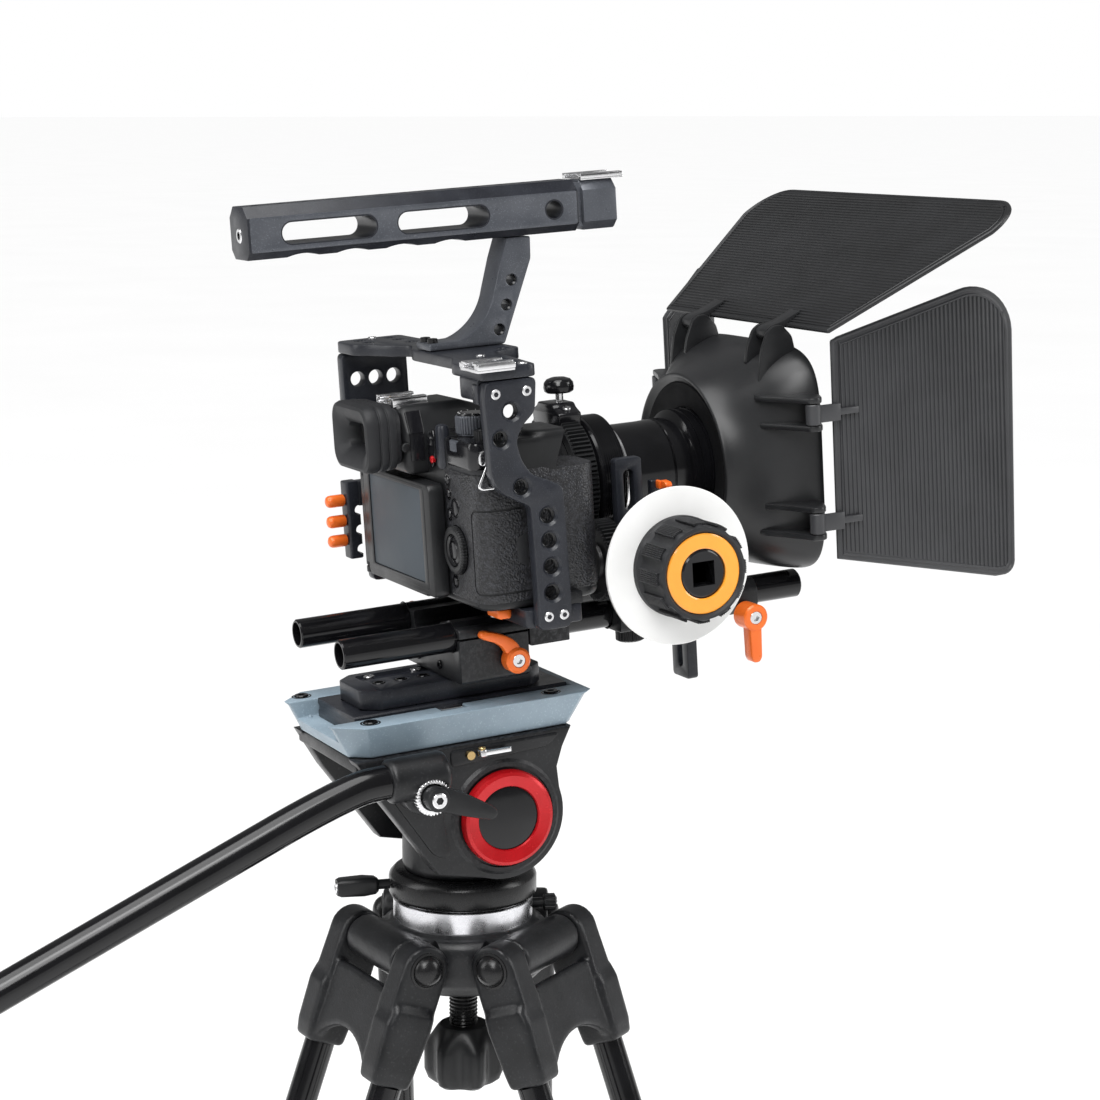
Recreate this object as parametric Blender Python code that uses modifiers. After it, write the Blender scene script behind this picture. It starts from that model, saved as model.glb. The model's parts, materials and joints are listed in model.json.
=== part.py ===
"""Cinema camera rig: cage, camera, follow focus and matte box on a fluid head and tripod.

Axes: +X to the camera's right, +Y the way the lens looks, +Z up.  The origin is the middle
of the floor area under the whole object.  Lengths are written in millimetres and are turned
into metres by the shape functions.

Two frames of reference are used.  The tripod and the head's base stand upright in the "stand"
frame.  Everything the head carries is drawn level in the "cradle" frame, which leans back
with the tilt axis.  Both frames have their origin where the tilt and pan axes come together.
"""
import math

import bmesh
import bpy
from mathutils import Matrix, Vector

MM = 0.001
GAP = 0.3                      # air between neighbouring solids, mm

# Driving dimensions, mm and degrees ---------------------------------------------------------
TILT_AT_REST = 3.7             # the camera looks slightly upward
PAN_OFFSET = -4.0              # pan axis, ahead of (+) or behind (-) the tilt axis
PAN_LOCK_AZIMUTH = -100.0
HANDLE_HINGE = (-48.5, 24.5)   # y and z of the pan handle's rosette from the tilt axis
ROD_RADIUS = 7.5
ROD_SPACING = 60.0
ROD_Z = 92.8                   # rod axes above the tilt axis
ROD_Y = (-77.0, 183.0)
LENS_Z = 159.0                 # optical axis above the tilt axis

BALL_RADIUS = 32.2             # levelling ball under the head
BALL_Z = -52.0
HINGE_RADIUS = 44.0            # leg hinges from the pan axis
HINGE_Z = -74.5
LEG_LENGTH = 700.0             # hinge to foot, legs retracted
LEG_SPLAY = 20.0
LEG_AZIMUTHS = {"a": -85.5, "b": 34.5, "c": 154.5}
TUBE_SPACING = 78.0            # the two tubes of one leg
TUBE_RADIUS = 8.0
TUBE_BORE = 6.8
INNER_RADIUS = 6.3
FOOT_RADIUS = 16.0
FOOT_FLAT = 2.0                # worn flat that the foot stands on

MATTE_Z = 162.0                # middle of the matte box's front frame
RIM_RADIUS = 48.8
RIM_Y = 134.0
FRONT_Y = 180.0
FRONT_HALF = (70.0, 60.0)      # half width and half height of the front frame
TOP_HINGE = (166.0, 228.8)     # y and z of the top flag's hinge
TOP_HINGE_X = 40.25
TOP_FLAG_TILT = 31.5
SIDE_HINGE_X = 82.5
SIDE_HINGE_Y = 167.0
UPPER_HINGE_Z = 190.2
LOWER_HINGE_Z = 134.2
LEFT_FLAG_SWING = 47.0         # the left flag stands open, the right one straight

RING_RADIUS = 35.4             # lens gear ring, at the teeth's pitch line
PINION_RADIUS = 20.8
PINION_AXIS = (45.0, 124.0)    # x and z of the follow focus output shaft
WHEEL_Y, WHEEL_Z = 80.0, 126.0


# Scene, collections and frames ---------------------------------------------------------------
def clear_scene():
    for old in list(bpy.data.objects):
        bpy.data.objects.remove(old, do_unlink=True)


def collection(name):
    group = bpy.data.collections.new(name)
    bpy.context.scene.collection.children.link(group)
    return group


def empty(name, parent, at=(0, 0, 0), turn=(0, 0, 0)):
    """A frame or a joint's axis: at is in mm and turn in degrees, both in the parent's frame."""
    marker = bpy.data.objects.new(name, None)
    marker.empty_display_size = 0.02
    marker.location = Vector(at) * MM
    marker.rotation_euler = [math.radians(a) for a in turn]
    marker.parent = parent
    marker["at"] = (0.0, 0.0, 0.0)
    PARTS.objects.link(marker)
    return marker


def pivot(name, parent, at):
    """An empty on a joint's axis; at is in the frame that the parent's own parts are drawn in."""
    there = Vector(at)
    marker = empty(name, parent, there - Vector(parent["at"]))
    marker["at"] = tuple(there)
    return marker


def hang(thing, parent):
    """Parent a part to a frame or pivot, leaving it where it was drawn."""
    thing.parent = parent
    thing.matrix_parent_inverse = Matrix.Translation(-Vector(parent["at"]) * MM)


def material(name, color, roughness, metallic):
    made = bpy.data.materials.new(name)
    made.use_nodes = True
    shader = made.node_tree.nodes["Principled BSDF"]
    shader.inputs["Base Color"].default_value = (*color, 1.0)
    shader.inputs["Roughness"].default_value = roughness
    shader.inputs["Metallic"].default_value = metallic
    return made


# Shapes ---------------------------------------------------------------------------------------
def link(name, mesh):
    thing = bpy.data.objects.new(name, mesh)
    PARTS.objects.link(thing)
    return thing


def from_bmesh(name, bm):
    mesh = bpy.data.meshes.new(name)
    bm.to_mesh(mesh)
    bm.free()
    return link(name, mesh)


def block(name, low, high, taper=None):
    """A box between two corners; taper gives the top face's own low and high x and y."""
    bm = bmesh.new()
    bmesh.ops.create_cube(bm, size=1.0)
    size = Vector(high) - Vector(low)
    bmesh.ops.scale(bm, vec=size * MM, verts=bm.verts)
    bmesh.ops.translate(bm, vec=(Vector(low) + Vector(high)) * 0.5 * MM, verts=bm.verts)
    if taper:
        middle = (low[2] + high[2]) * 0.5 * MM
        for vert in bm.verts:
            if vert.co.z > middle:
                vert.co.x = (taper[0][0] if vert.co.x < (low[0] + high[0]) * 0.5 * MM else taper[1][0]) * MM
                vert.co.y = (taper[0][1] if vert.co.y < (low[1] + high[1]) * 0.5 * MM else taper[1][1]) * MM
    return from_bmesh(name, bm)


AXIS_TURN = {"x": Matrix.Rotation(math.radians(90), 4, "Y"),
             "y": Matrix.Rotation(math.radians(-90), 4, "X"),
             "z": Matrix.Identity(4)}


def cylinder(name, axis, start, length, radius, sides=24, end_radius=None):
    """A cylinder or cone that starts at a point and runs along +x, +y or +z."""
    bm = bmesh.new()
    bmesh.ops.create_cone(bm, cap_ends=True, segments=sides, radius1=radius * MM,
                          radius2=(radius if end_radius is None else end_radius) * MM, depth=length * MM)
    bmesh.ops.translate(bm, vec=(0, 0, length * 0.5 * MM), verts=bm.verts)
    bmesh.ops.transform(bm, matrix=Matrix.Translation(Vector(start) * MM) @ AXIS_TURN[axis], verts=bm.verts)
    thing = from_bmesh(name, bm)
    thing.data.shade_smooth()
    thing.data.set_sharp_from_angle(angle=math.radians(35))
    return thing


def ball(name, centre, radius):
    bm = bmesh.new()
    bmesh.ops.create_uvsphere(bm, u_segments=20, v_segments=10, radius=radius * MM)
    bmesh.ops.translate(bm, vec=Vector(centre) * MM, verts=bm.verts)
    return from_bmesh(name, bm)


def turned(name, profile, sides=32, at=(0, 0, 0), axis="z"):
    """A turned solid from (radius, height) points, outer side listed from the top down."""
    bm = bmesh.new()
    verts = [bm.verts.new((r * MM, 0.0, h * MM)) for r, h in profile]
    loop = verts if profile[0][0] < 1e-6 else verts + verts[:1]
    for first, second in zip(loop, loop[1:]):
        bm.edges.new((first, second))
    thing = from_bmesh(name, bm)
    screw = thing.modifiers.new("turn", "SCREW")
    screw.axis = "Z"
    screw.steps = sides
    screw.render_steps = sides
    screw.use_merge_vertices = True
    screw.merge_threshold = 0.00001
    thing.matrix_basis = Matrix.Translation(Vector(at) * MM) @ AXIS_TURN[axis]
    return solid(thing)


def solid(thing):
    """The evaluated shape of an object as a plain welded mesh, in the frame it was drawn in."""
    bpy.context.view_layer.update()
    depsgraph = bpy.context.evaluated_depsgraph_get()
    mesh = bpy.data.meshes.new_from_object(thing.evaluated_get(depsgraph))
    mesh.transform(thing.matrix_world)
    bm = bmesh.new()
    bm.from_mesh(mesh)
    bmesh.ops.remove_doubles(bm, verts=bm.verts, dist=0.00001)
    bm.to_mesh(mesh)
    bm.free()
    name = thing.name
    bpy.data.objects.remove(thing, do_unlink=True)
    made = link(name, mesh)
    made.data.set_sharp_from_angle(angle=math.radians(35))
    return made


PLANES = {"xy": Matrix.Identity(4),
          "yz": Matrix(((0, 0, 1, 0), (1, 0, 0, 0), (0, 1, 0, 0), (0, 0, 0, 1))),
          "xz": Matrix(((1, 0, 0, 0), (0, 0, -1, 0), (0, 1, 0, 0), (0, 0, 0, 1)))}


def plate(name, outline, plane, low, high):
    """A flat outline in the xy, yz or xz plane, filled and extruded from low to high across it."""
    curve = bpy.data.curves.new(name, "CURVE")
    curve.dimensions = "2D"
    curve.fill_mode = "BOTH"
    curve.extrude = (high - low) * 0.5 * MM
    spline = curve.splines.new("POLY")
    spline.points.add(len(outline) - 1)
    for point, (a, b) in zip(spline.points, outline):
        point.co = (a * MM, b * MM, 0.0, 1.0)
    spline.use_cyclic_u = True
    thing = link(name, curve)
    middle = (low + high) * 0.5 * MM
    shift = {"xy": (0, 0, middle), "yz": (middle, 0, 0), "xz": (0, middle, 0)}[plane]
    thing.matrix_basis = Matrix.Translation(shift) @ PLANES[plane]
    return solid(thing)


def tube(name, points, radius, resolution=3, closed=False):
    """A round bar along a list of points, or a closed ring of them."""
    curve = bpy.data.curves.new(name, "CURVE")
    curve.dimensions = "3D"
    curve.bevel_depth = radius * MM
    curve.bevel_resolution = resolution
    curve.use_fill_caps = True
    spline = curve.splines.new("POLY")
    spline.points.add(len(points) - 1)
    for point, co in zip(spline.points, points):
        point.co = (*(Vector(co) * MM), 1.0)
    spline.use_cyclic_u = closed
    return solid(link(name, curve))


def arc(centre, radius, start, end, steps):
    """Points on a circle between two angles in degrees."""
    angles = [math.radians(start + (end - start) * i / steps) for i in range(steps + 1)]
    return [(centre[0] + radius * math.cos(a), centre[1] + radius * math.sin(a)) for a in angles]


def rounded(low, high, radius, steps=3):
    """A rectangle's outline with round corners."""
    (x0, y0), (x1, y1) = low, high
    corners = (((x1 - radius, y1 - radius), 0), ((x0 + radius, y1 - radius), 90),
               ((x0 + radius, y0 + radius), 180), ((x1 - radius, y0 + radius), 270))
    return [p for centre, start in corners for p in arc(centre, radius, start, start + 90, steps)]


def combine(target, tools, operation):
    for tool in tools:
        boolean = target.modifiers.new(operation.lower(), "BOOLEAN")
        boolean.operation = operation
        boolean.solver = "EXACT"
        boolean.object = tool
    made = solid(target)
    for tool in tools:
        for group in list(tool.users_collection):
            group.objects.unlink(tool)
        CUTTERS.objects.link(tool)
        tool.hide_render = True
        tool.display_type = "WIRE"
    return made


def cut(target, *tools):
    return combine(target, tools, "DIFFERENCE")


def fuse(target, *tools):
    return combine(target, tools, "UNION")


def finish(thing, parent, look):
    """Give a finished part its material and its place in the tree."""
    thing.data.materials.clear()
    thing.data.materials.append(look)
    hang(thing, parent)
    return thing


# Tripod ---------------------------------------------------------------------------------------
def tripod_shoulder():
    bowl = [(31.0, -64.5), (43.0, -64.5), (45.0, -68.0), (45.0, -88.0), (36.0, -97.0), (12.0, -97.0),
            (12.0, -83.4), (21.1, -78.0), (26.9, -72.0)]
    body = turned("tripod_shoulder", bowl, 28)
    bosses, pockets = [], []
    for name, azimuth in LEG_AZIMUTHS.items():
        boss = cylinder("boss_" + name, "x", (-26.5, 0, 0), 53.0, 11.5, 16)
        neck = block("neck_" + name, (-22, -9.5, -9), (22, 2, 9))
        sides = [block("pocket_" + name, (x, -14.0, -40), (x + 40, 40, 14.0)) for x in (-66.6, 26.6)]
        lay = leg_matrix(azimuth, 0.0)
        for piece in (boss, neck, *sides):
            piece.data.transform(lay)
        bosses += [boss, neck]
        pockets += sides
    finish(cut(fuse(body, *bosses), *pockets), STAND, BLACK_PAINT)


def leg_matrix(azimuth, splay):
    """From a leg's own frame (x along its hinge, -z down the leg) to the stand frame, in metres."""
    turn = Matrix.Rotation(math.radians(azimuth - 90.0), 4, "Z")
    lean = Matrix.Rotation(math.radians(splay), 4, "X")
    return turn @ Matrix.Translation(Vector((0, HINGE_RADIUS, HINGE_Z)) * MM) @ lean


def bowl_parts():
    ring = turned("bowl_ring", [(33.6, -52.3), (36.4, -52.3), (36.4, -64.2), (33.6, -64.2)], 28)
    finish(ring, STAND, BRIGHT)
    ball = [(BALL_RADIUS * math.cos(math.radians(a)), BALL_Z - BALL_RADIUS * math.sin(math.radians(a)))
            for a in range(2, 75, 14)]
    post = turned("ball_post", [(0.0, BALL_Z)] + ball + [(7.5, -84.5), (7.5, -148.0), (0.0, -148.0)], 24)
    finish(post, STAND, BLACK_PAINT)
    spin = pivot("clamp_knob_axis", STAND, (0, 0, -138))
    knob = turned("clamp_knob", [(0.0, -150.0), (7.9, -150.0), (7.9, -122.5), (14.0, -122.5), (20.0, -132.0),
                                 (21.0, -150.0), (17.0, -154.5), (0.0, -154.5)], 24)
    return finish(knob, spin, BLACK_PLASTIC)


def leg(name, azimuth):
    hinge = empty("leg_hinge_" + name, STAND)
    place = leg_matrix(azimuth, LEG_SPLAY)
    hinge.matrix_basis = place
    ear = arc((0, 0), 12.5, -20, 200, 8) + [(-12.5, -30), (-9.5, -61.0), (12.5, -61.0), (14.0, -30)]
    yoke = plate("leg_yoke_" + name, ear, "yz", 27.0, 48.0)
    other = plate("ear", ear, "yz", -48.0, -27.0)
    apron = [(-40, -22), (-40, -50)] + arc((0, -77), 42.0, 140, 40, 6) + [(40, -50), (40, -22)]
    web = plate("apron", apron, "xz", 4.0, 13.0)
    finish(fuse(yoke, other, web), hinge, BLACK_PAINT)

    reach = LEG_LENGTH - 60.0
    half = TUBE_SPACING * 0.5
    tubes = cylinder("leg_tubes_" + name, "z", (half, 0, -reach + 20), reach - 20 - 61.3, TUBE_RADIUS, 16)
    mate = cylinder("tube", "z", (-half, 0, -reach + 20), reach - 20 - 61.3, TUBE_RADIUS, 16)
    collar = plate("collar", rounded((-half - 13, -13), (half + 13, 13), 12.0), "xy", -reach, -reach + 36)
    bores = [cylinder("bore", "z", (x, 0, -reach - 1), reach - 70, TUBE_BORE, 16) for x in (-half, half)]
    finish(cut(fuse(tubes, mate, collar), *bores), hinge, BLACK_PAINT)

    slide = pivot("leg_slide_" + name, hinge, (0, 0, -reach))
    lower = plate("lower_leg_" + name, rounded((-half - 12, -11), (half + 12, 11), 10.0), "xy",
                  -reach - 30, -reach - 2)
    inner = [cylinder("inner", "z", (x, 0, -reach - 10), reach - 150, INNER_RADIUS, 16)
             for x in (-half, half)]
    centre = Vector((0, 0, FOOT_RADIUS - LEG_LENGTH))
    foot = ball("foot", centre, FOOT_RADIUS)
    ground = block("ground", (-40, -40, -40), (40, 40, FOOT_FLAT - FOOT_RADIUS))
    ground.data.transform(Matrix.Translation(centre * MM) @ Matrix.Rotation(math.radians(-LEG_SPLAY), 4, "X"))
    finish(cut(fuse(lower, *inner, foot), ground), slide, BLACK_PAINT)


# Fluid head -----------------------------------------------------------------------------------
def head_base():
    base = turned("pan_base", [(0.0, -36.8), (36.5, -36.8), (38.6, -39.0), (38.6, -49.5), (37.0, -51.5),
                               (0.0, -51.5)], 36)
    finish(base, STAND, BLACK_PAINT)
    turn = empty("pan_lock_axis", STAND, (0, 0, -43.5), (0, 0, PAN_LOCK_AZIMUTH))
    lever = cylinder("pan_lock_lever", "x", (39.0, 0, 0), 7.0, 2.6, 12)
    grip = block("grip", (45.5, -5.5, -5.0), (67.0, 5.5, 5.0))
    finish(fuse(lever, grip), turn, BLACK_PLASTIC)


def head_core():
    pan = pivot("pan_axis", STAND, (0, 0, -36.5))
    back = -PAN_OFFSET
    neck = turned("head_core", [(0.0, -4.0), (30.5, -4.0), (31.5, -22.0), (31.5, -36.5), (0.0, -36.5)], 32)
    drum = cylinder("drum", "x", (-32.4, back, 0), 64.8, 25.0, 28)
    trunnion = cylinder("trunnion", "x", (-45.6, back, 0), 91.2, 8.0, 20)
    finish(fuse(neck, drum, trunnion), pan, BLACK_PAINT)
    return pan


def tilt_cradle():
    side = [(40.0, 40.9), (28.5, 22.0)] + arc((0, 0), 33.0, 20, -112, 10)
    side += [(-38.0, -24.0), (-67.0, 20.0), (-78.0, 40.9)]
    cheek = plate("tilt_cradle", side[::-1], "yz", 33.0, 46.0)
    other = plate("cheek", side[::-1], "yz", -46.0, -33.0)
    deck = block("deck", (-40, -76.5, 34.0), (40, 39.0, 40.6))
    body = fuse(cheek, other, deck)
    body = cut(body, cylinder("bore", "x", (-50, 0, 0), 100.0, 8.5, 20))
    finish(body, TILT, BLACK_PAINT)
    ring = turned("tilt_ring", [(16.5, 4.6), (22.5, 5.0), (24.8, 3.6), (24.8, 0.0), (16.5, 0.0)], 28,
                  (46.3, 0, 0), "x")
    finish(ring, TILT, RED)
    deck_edge = pivot("plate_lever_axis", TILT, (49.1, -12.0, 36.0))
    blade = arc((49.1, -12.0), 2.7, 180, 360, 8) + [(51.8, 3.0), (46.9, 3.0)]
    finish(plate("plate_lever", blade, "xy", 34.6, 38.0), deck_edge, BRIGHT)


def plate_tray():
    tray = block("plate_tray", (-42, -77.5, 41.3), (42, 42, 58), ((-47.5, -86), (47.5, 53)))
    tray = cut(tray, block("recess", (-29, -100, 48.8), (29, 48.5, 70)))
    finish(tray, TILT, GREY_PAINT)
    travel = pivot("plate_slide_axis", TILT, (0, -10, 54))
    sliding = block("slide_plate", (-26, -70, 49.2), (26, 47.5, 58.9))
    finish(sliding, travel, BLACK_PAINT)
    return travel


def pan_handle():
    y, z = HANDLE_HINGE
    swing = pivot("handle_swing", TILT, (46, y, z))
    socket = cylinder("handle_socket", "y", (59, -68, 33.0), 26.0, 11.2, 24)
    rosette = cylinder("rosette", "x", (46.4, y, z), 15.5, 11.5, 24)
    seat = cylinder("seat", "x", (62, y, z), 20.0, 6.8, 20)
    finish(cut(fuse(socket, rosette), seat), swing, BLACK_PAINT)
    bend = [(59, -68.4, 33.0), (59, -80, 33.0), (59, -94, 30.0), (59, -108, 25.2), (59, -122, 19.6)]
    fall = math.tan(math.radians(20.3))
    straight = [(59, y, 19.4 + (y + 122) * fall) for y in (-140, -318)]
    bar = tube("pan_handle", bend + straight, 8.6)
    grip = tube("grip", [(59, y, 19.4 + (y + 122) * fall) for y in (-316, -436)], 13.5)
    finish(fuse(bar, grip), swing, BLACK_PAINT)
    clamp = pivot("handle_lever_axis", swing, (62, y, z))
    lever = cylinder("handle_lever", "x", (62.3, y, z), 16.0, 6.0, 16)
    wing = [(-4, 4), (4, 5.5), (14, 1), (30, -9), (32, -12.5), (29, -15.5), (10, -10), (-2, -5)]
    wing = plate("wing", [(y + a, z + b) for a, b in wing], "yz", 72.0, 76.5)
    finish(fuse(lever, wing), clamp, BLACK_PLASTIC)


# Rods and quick release -----------------------------------------------------------------------
def baseplate(load):
    corner = [(-22, -54), (-14, -62), (14, -62), (22, -54), (22, 30), (15, 37.5), (-15, 37.5), (-22, 30)]
    riser = plate("riser_block", corner, "xy", 59.2, 69.5)
    holes = [cylinder("hole", "z", (4, y, 50), 36.0, 3.2, 12) for y in (-47.2, -35.1, -22.6)]
    finish(cut(riser, *holes), load, BLACK_PAINT)
    clamp = block("rod_clamp", (-41, -17, 69.8), (41, 21, 98.5))
    bores = [cylinder("bore", "y", (x, -30, ROD_Z), 80.0, ROD_RADIUS + GAP, 24) for x in (-30, 30)]
    finish(cut(clamp, *bores), load, BLACK_PAINT)
    for side, sign in (("right", 1), ("left", -1)):
        x = sign * ROD_SPACING * 0.5
        bar = cylinder("rod_" + side, "y", (x, ROD_Y[0], ROD_Z), ROD_Y[1] - ROD_Y[0], ROD_RADIUS, 24)
        bore = cylinder("bore", "y", (x, ROD_Y[0] - 5, ROD_Z), ROD_Y[1] - ROD_Y[0] + 10, 6.0, 16)
        finish(cut(bar, bore), load, BLACK_ALUMINIUM)
        axis = pivot("rod_lever_axis_" + side, load, (x, 11.0, 80.0))
        out = sorted((sign * 41.4, sign * 50.0))
        handle = cylinder("rod_lever_" + side, "x", (out[0], 11.0, 80.0), 8.6, 6.6, 20)
        tail = [(14, 86), (7, 91), (-5, 97), (-8, 95), (-7, 93), (3, 88), (6, 82)]
        blade = plate("blade", tail[::-1] if sign > 0 else tail, "yz", out[0] + 1.5, out[1] - 1.5)
        finish(fuse(handle, blade), axis, ORANGE)


# Cage and top handle --------------------------------------------------------------------------
def cage(load):
    floor = block("cage_base", (-76, 0, 104.5), (87.6, 30, 113.4))
    hub = block("hub", (-41, 21.6, 84.5), (41, 44, 110.0))
    bores = [cylinder("bore", "y", (x, -30, ROD_Z), 90.0, ROD_RADIUS + GAP, 24) for x in (-30, 30)]
    finish(cut(fuse(floor, hub), *bores), load, BLACK_PAINT)

    outline = [(-18, 227.6), (-19, 219), (-17.5, 181), (-12.8, 173.5), (2, 165.5), (3, 112), (2.5, 104.5),
               (19.5, 104.5), (20.5, 117), (19.5, 173.5), (11, 178), (3.5, 181), (-1.5, 188.5), (-3.7, 198),
               (0, 205), (7, 211), (8.6, 227.6)]
    right = plate("cage_side_right", outline, "yz", 88.0, 95.5)
    spots = [(-5.5, 212.4), (-11.5, 199.7), (-2.2, 175.5), (10.6, 160.2), (10.9, 148), (11.1, 135.2),
             (10.8, 122.4)]
    holes = [cylinder("hole", "x", (80, y, z), 24.0, 3.9, 12) for y, z in spots]
    finish(cut(right, *holes), load, BLACK_ALUMINIUM)

    wall = [(-24, 227.6), (-24, 180), (-15, 168), (-15, 104.5), (13, 104.5), (13, 227.6)]
    left = plate("cage_side_left", wall, "yz", -84.0, -76.3)
    holes = [cylinder("hole", "x", (-90, y, 213.6), 20.0, 3.9, 12) for y in (-15.6, -5.3, 4.9)]
    finish(cut(left, *holes), load, BLACK_ALUMINIUM)

    roof = [(-84, -24), (-60, -24), (-52, -17), (-40, -12), (-28, -3), (-14, -10), (40, -10), (58, -19),
            (95.5, -19), (95.5, 9), (58, 13), (34, 14), (26, 33), (-12, 33), (-22, 14), (-84, 13)]
    top = plate("cage_top", roof, "xy", 228.0, 234.0)
    lower_block = block("under", (66, -18.7, 217.5), (87.6, 8.5, 229.0))
    holes = [cylinder("hole", "z", (x, y, 220), 20.0, 3.0, 10)
             for x, y in ((-74, -14), (-74, 3), (-62, -14), (-62, 3), (-46, 4), (-30, 5))]
    finish(cut(fuse(top, lower_block), *holes), load, BLACK_ALUMINIUM)

    stem = [(50, 287.4), (49.6, 276), (32.5, 234.3), (-9, 234.3), (-9, 238)] + \
        arc((-2.0, 268.0), 31.0, -80, -12, 6)[1:] + [(33, 277), (36.8, 287.4)]
    arm = plate("handle_arm", stem[::-1], "yz", -9.0, 9.0)
    holes = [cylinder("hole", "x", (-15, y, z), 30.0, 2.9, 12)
             for y, z in ((38.2, 266), (34.6, 253.7), (29.9, 241.5))]
    finish(cut(arm, *holes), load, BLACK_ALUMINIUM)


def top_handle(load):
    section = [(-13, 292), (-13, 308), (-7.5, 313.5), (7.5, 313.5), (13, 308), (13, 292), (8.5, 287.7),
               (-8.5, 287.7)]
    bar = plate("top_handle", section[::-1], "xz", -101.0, 98.0)
    tools = []
    for y0, y1 in ((-83.6, -34.4), (-22.9, 25.9)):
        slot = plate("slot", rounded((y0, 294.4), (y1, 304.8), 5.1, 4), "yz", -20.0, 20.0)
        tools.append(slot)
    tools.append(cylinder("hole", "x", (-20, 62.1, 299.5), 40.0, 4.4, 16))
    tools.append(cylinder("hole", "y", (0, -110, 299.5), 18.0, 2.6, 12))
    for y in (-72, -46, -20, 6):
        tools.append(cylinder("scallop", "x", (-20, y, 265.6), 40.0, 23.6, 32))
    finish(cut(bar, *tools), load, BLACK_ALUMINIUM)


def cable_clamp(load):
    shell = block("cable_clamp", (-80.0, -29.0, 119.0), (-70.5, -21.6, 160.5))
    finish(shell, load, BLACK_PAINT)
    for index, z in enumerate((150.5, 139.5, 129.0), start=1):
        axis = pivot("cable_knob_axis_%d" % index, load, (-75.2, -32, z))
        knob = turned("cable_knob_%d" % index, [(0.0, 10.0), (2.0, 10.0), (3.3, 8.6), (3.3, 0.0), (0.0, 0.0)],
                      16, (0, 0, 0), "z")
        knob.data.transform(Matrix.Translation(Vector((-75.2, -29.3, z)) * MM)
                            @ Matrix.Rotation(math.radians(90), 4, "X"))
        finish(knob, axis, ORANGE)


def release_lever(load):
    axis = pivot("release_axis", load, (61, -5.4, 110))
    lever = block("release_lever", (58, -9.2, 108.0), (74, -1.6, 112.6))
    finish(lever, axis, ORANGE)


# Camera ---------------------------------------------------------------------------------------
def camera(load):
    body = block("camera_body", (-57, -20, 114.0), (82, 26, 197.0))
    hump = block("hump", (-24, -32, 175.0), (24, 22, 210.0), ((-19, -32), (19, 14)))
    grip = plate("grip", rounded((48, 10), (82.5, 45), 10.0, 3), "xy", 114.4, 196.5)
    slope = block("slope", (30, 24, 186), (100, 80, 215))
    slope.data.transform(Matrix.Translation(Vector((0, 10, 190)) * MM)
                         @ Matrix.Rotation(math.radians(-20), 4, "X")
                         @ Matrix.Translation(Vector((0, -10, -190)) * MM))
    shoe = block("shoe", (-9, -32, 209.0), (9, -13, 213.5))
    mount = cylinder("mount", "y", (0, 20, LENS_Z), 16.0, 33.0, 24)
    button_well = cylinder("button_well", "z", (64, 8, 195.6), 4.0, 5.7, 20)
    finish(fuse(cut(fuse(body, grip), slope, button_well), hump, shoe, mount), load, BLACK_PLASTIC)

    cup = plate("eyecup", rounded((-24.5, 178), (24.5, 212), 9.5, 4), "xz", -52.0, -32.4)
    well = plate("well", rounded((-13.0, 185.0), (13.0, 205.0), 5.0, 3), "xz", -60.0, -38.0)
    finish(cut(cup, well), load, RUBBER)

    flip = pivot("screen_hinge", load, (-50.5, -24.5, 144.0))
    screen = block("screen", (-46, -29.0, 115.5), (42, -20.4, 173.0))
    lug = block("lug", (-53.5, -28.2, 119.0), (-45, -21.2, 169.0))
    finish(fuse(screen, lug), flip, BLACK_PLASTIC)

    dial = pivot("mode_dial_axis", load, (52, -6, 200))
    finish(cylinder("mode_dial", "z", (52, -6, 197.4), 12.0, 9.5, 24), dial, BLACK_PLASTIC)
    wheel = pivot("rear_wheel_axis", load, (55, -22, 141.7))
    finish(cylinder("rear_wheel", "y", (55, -23.6, 141.7), 3.2, 12.0, 24), wheel, BLACK_PLASTIC)
    press = pivot("shutter_axis", load, (64, 8, 199))
    finish(cylinder("shutter_button", "z", (64, 8, 197.6), 3.4, 5.2, 20), press, BRIGHT)
    hang_point = pivot("strap_ring_axis", load, (85.4, -14, 188))
    loop = [(85.4, y, z) for y, z in arc((-14, 181.5), 6.3, 0, 330, 11)]
    finish(tube("strap_ring", loop, 0.9, 1, closed=True), hang_point, BRIGHT)


# Lens and follow focus ------------------------------------------------------------------------
def lens(load):
    barrel = [(0.0, 141.0), (27.0, 141.0), (29.5, 140.0), (29.5, 128.0), (26.0, 126.0), (24.5, 87.0),
              (32.5, 85.5), (32.5, 72.0), (29.0, 70.5), (29.0, 36.4), (0.0, 36.4)]
    tube_part = turned("lens_barrel", barrel, 28)
    tube_part.data.transform(Matrix.Translation(Vector((0, 0, LENS_Z)) * MM) @ AXIS_TURN["y"])
    finish(tube_part, load, BLACK_ALUMINIUM)
    spin = pivot("focus_ring_axis", load, (0, 63, LENS_Z))
    ring = turned("gear_ring", [(29.4, 6.0), (RING_RADIUS, 6.0), (RING_RADIUS, -6.0), (29.4, -6.0)], 28)
    ring.data.transform(Matrix.Translation(Vector((0, 63, LENS_Z)) * MM) @ AXIS_TURN["y"])
    stem = cylinder("stem", "z", (0, 63, LENS_Z + 33), 9.0, 3.0, 12)
    screw = cylinder("screw", "z", (0, 63, LENS_Z + 41), 11.0, 7.8, 20)
    pad = block("pad", (-8, 57, LENS_Z + 31), (8, 69, LENS_Z + 38.5))
    finish(fuse(ring, pad, stem, screw), spin, BLACK_PLASTIC)


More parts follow.
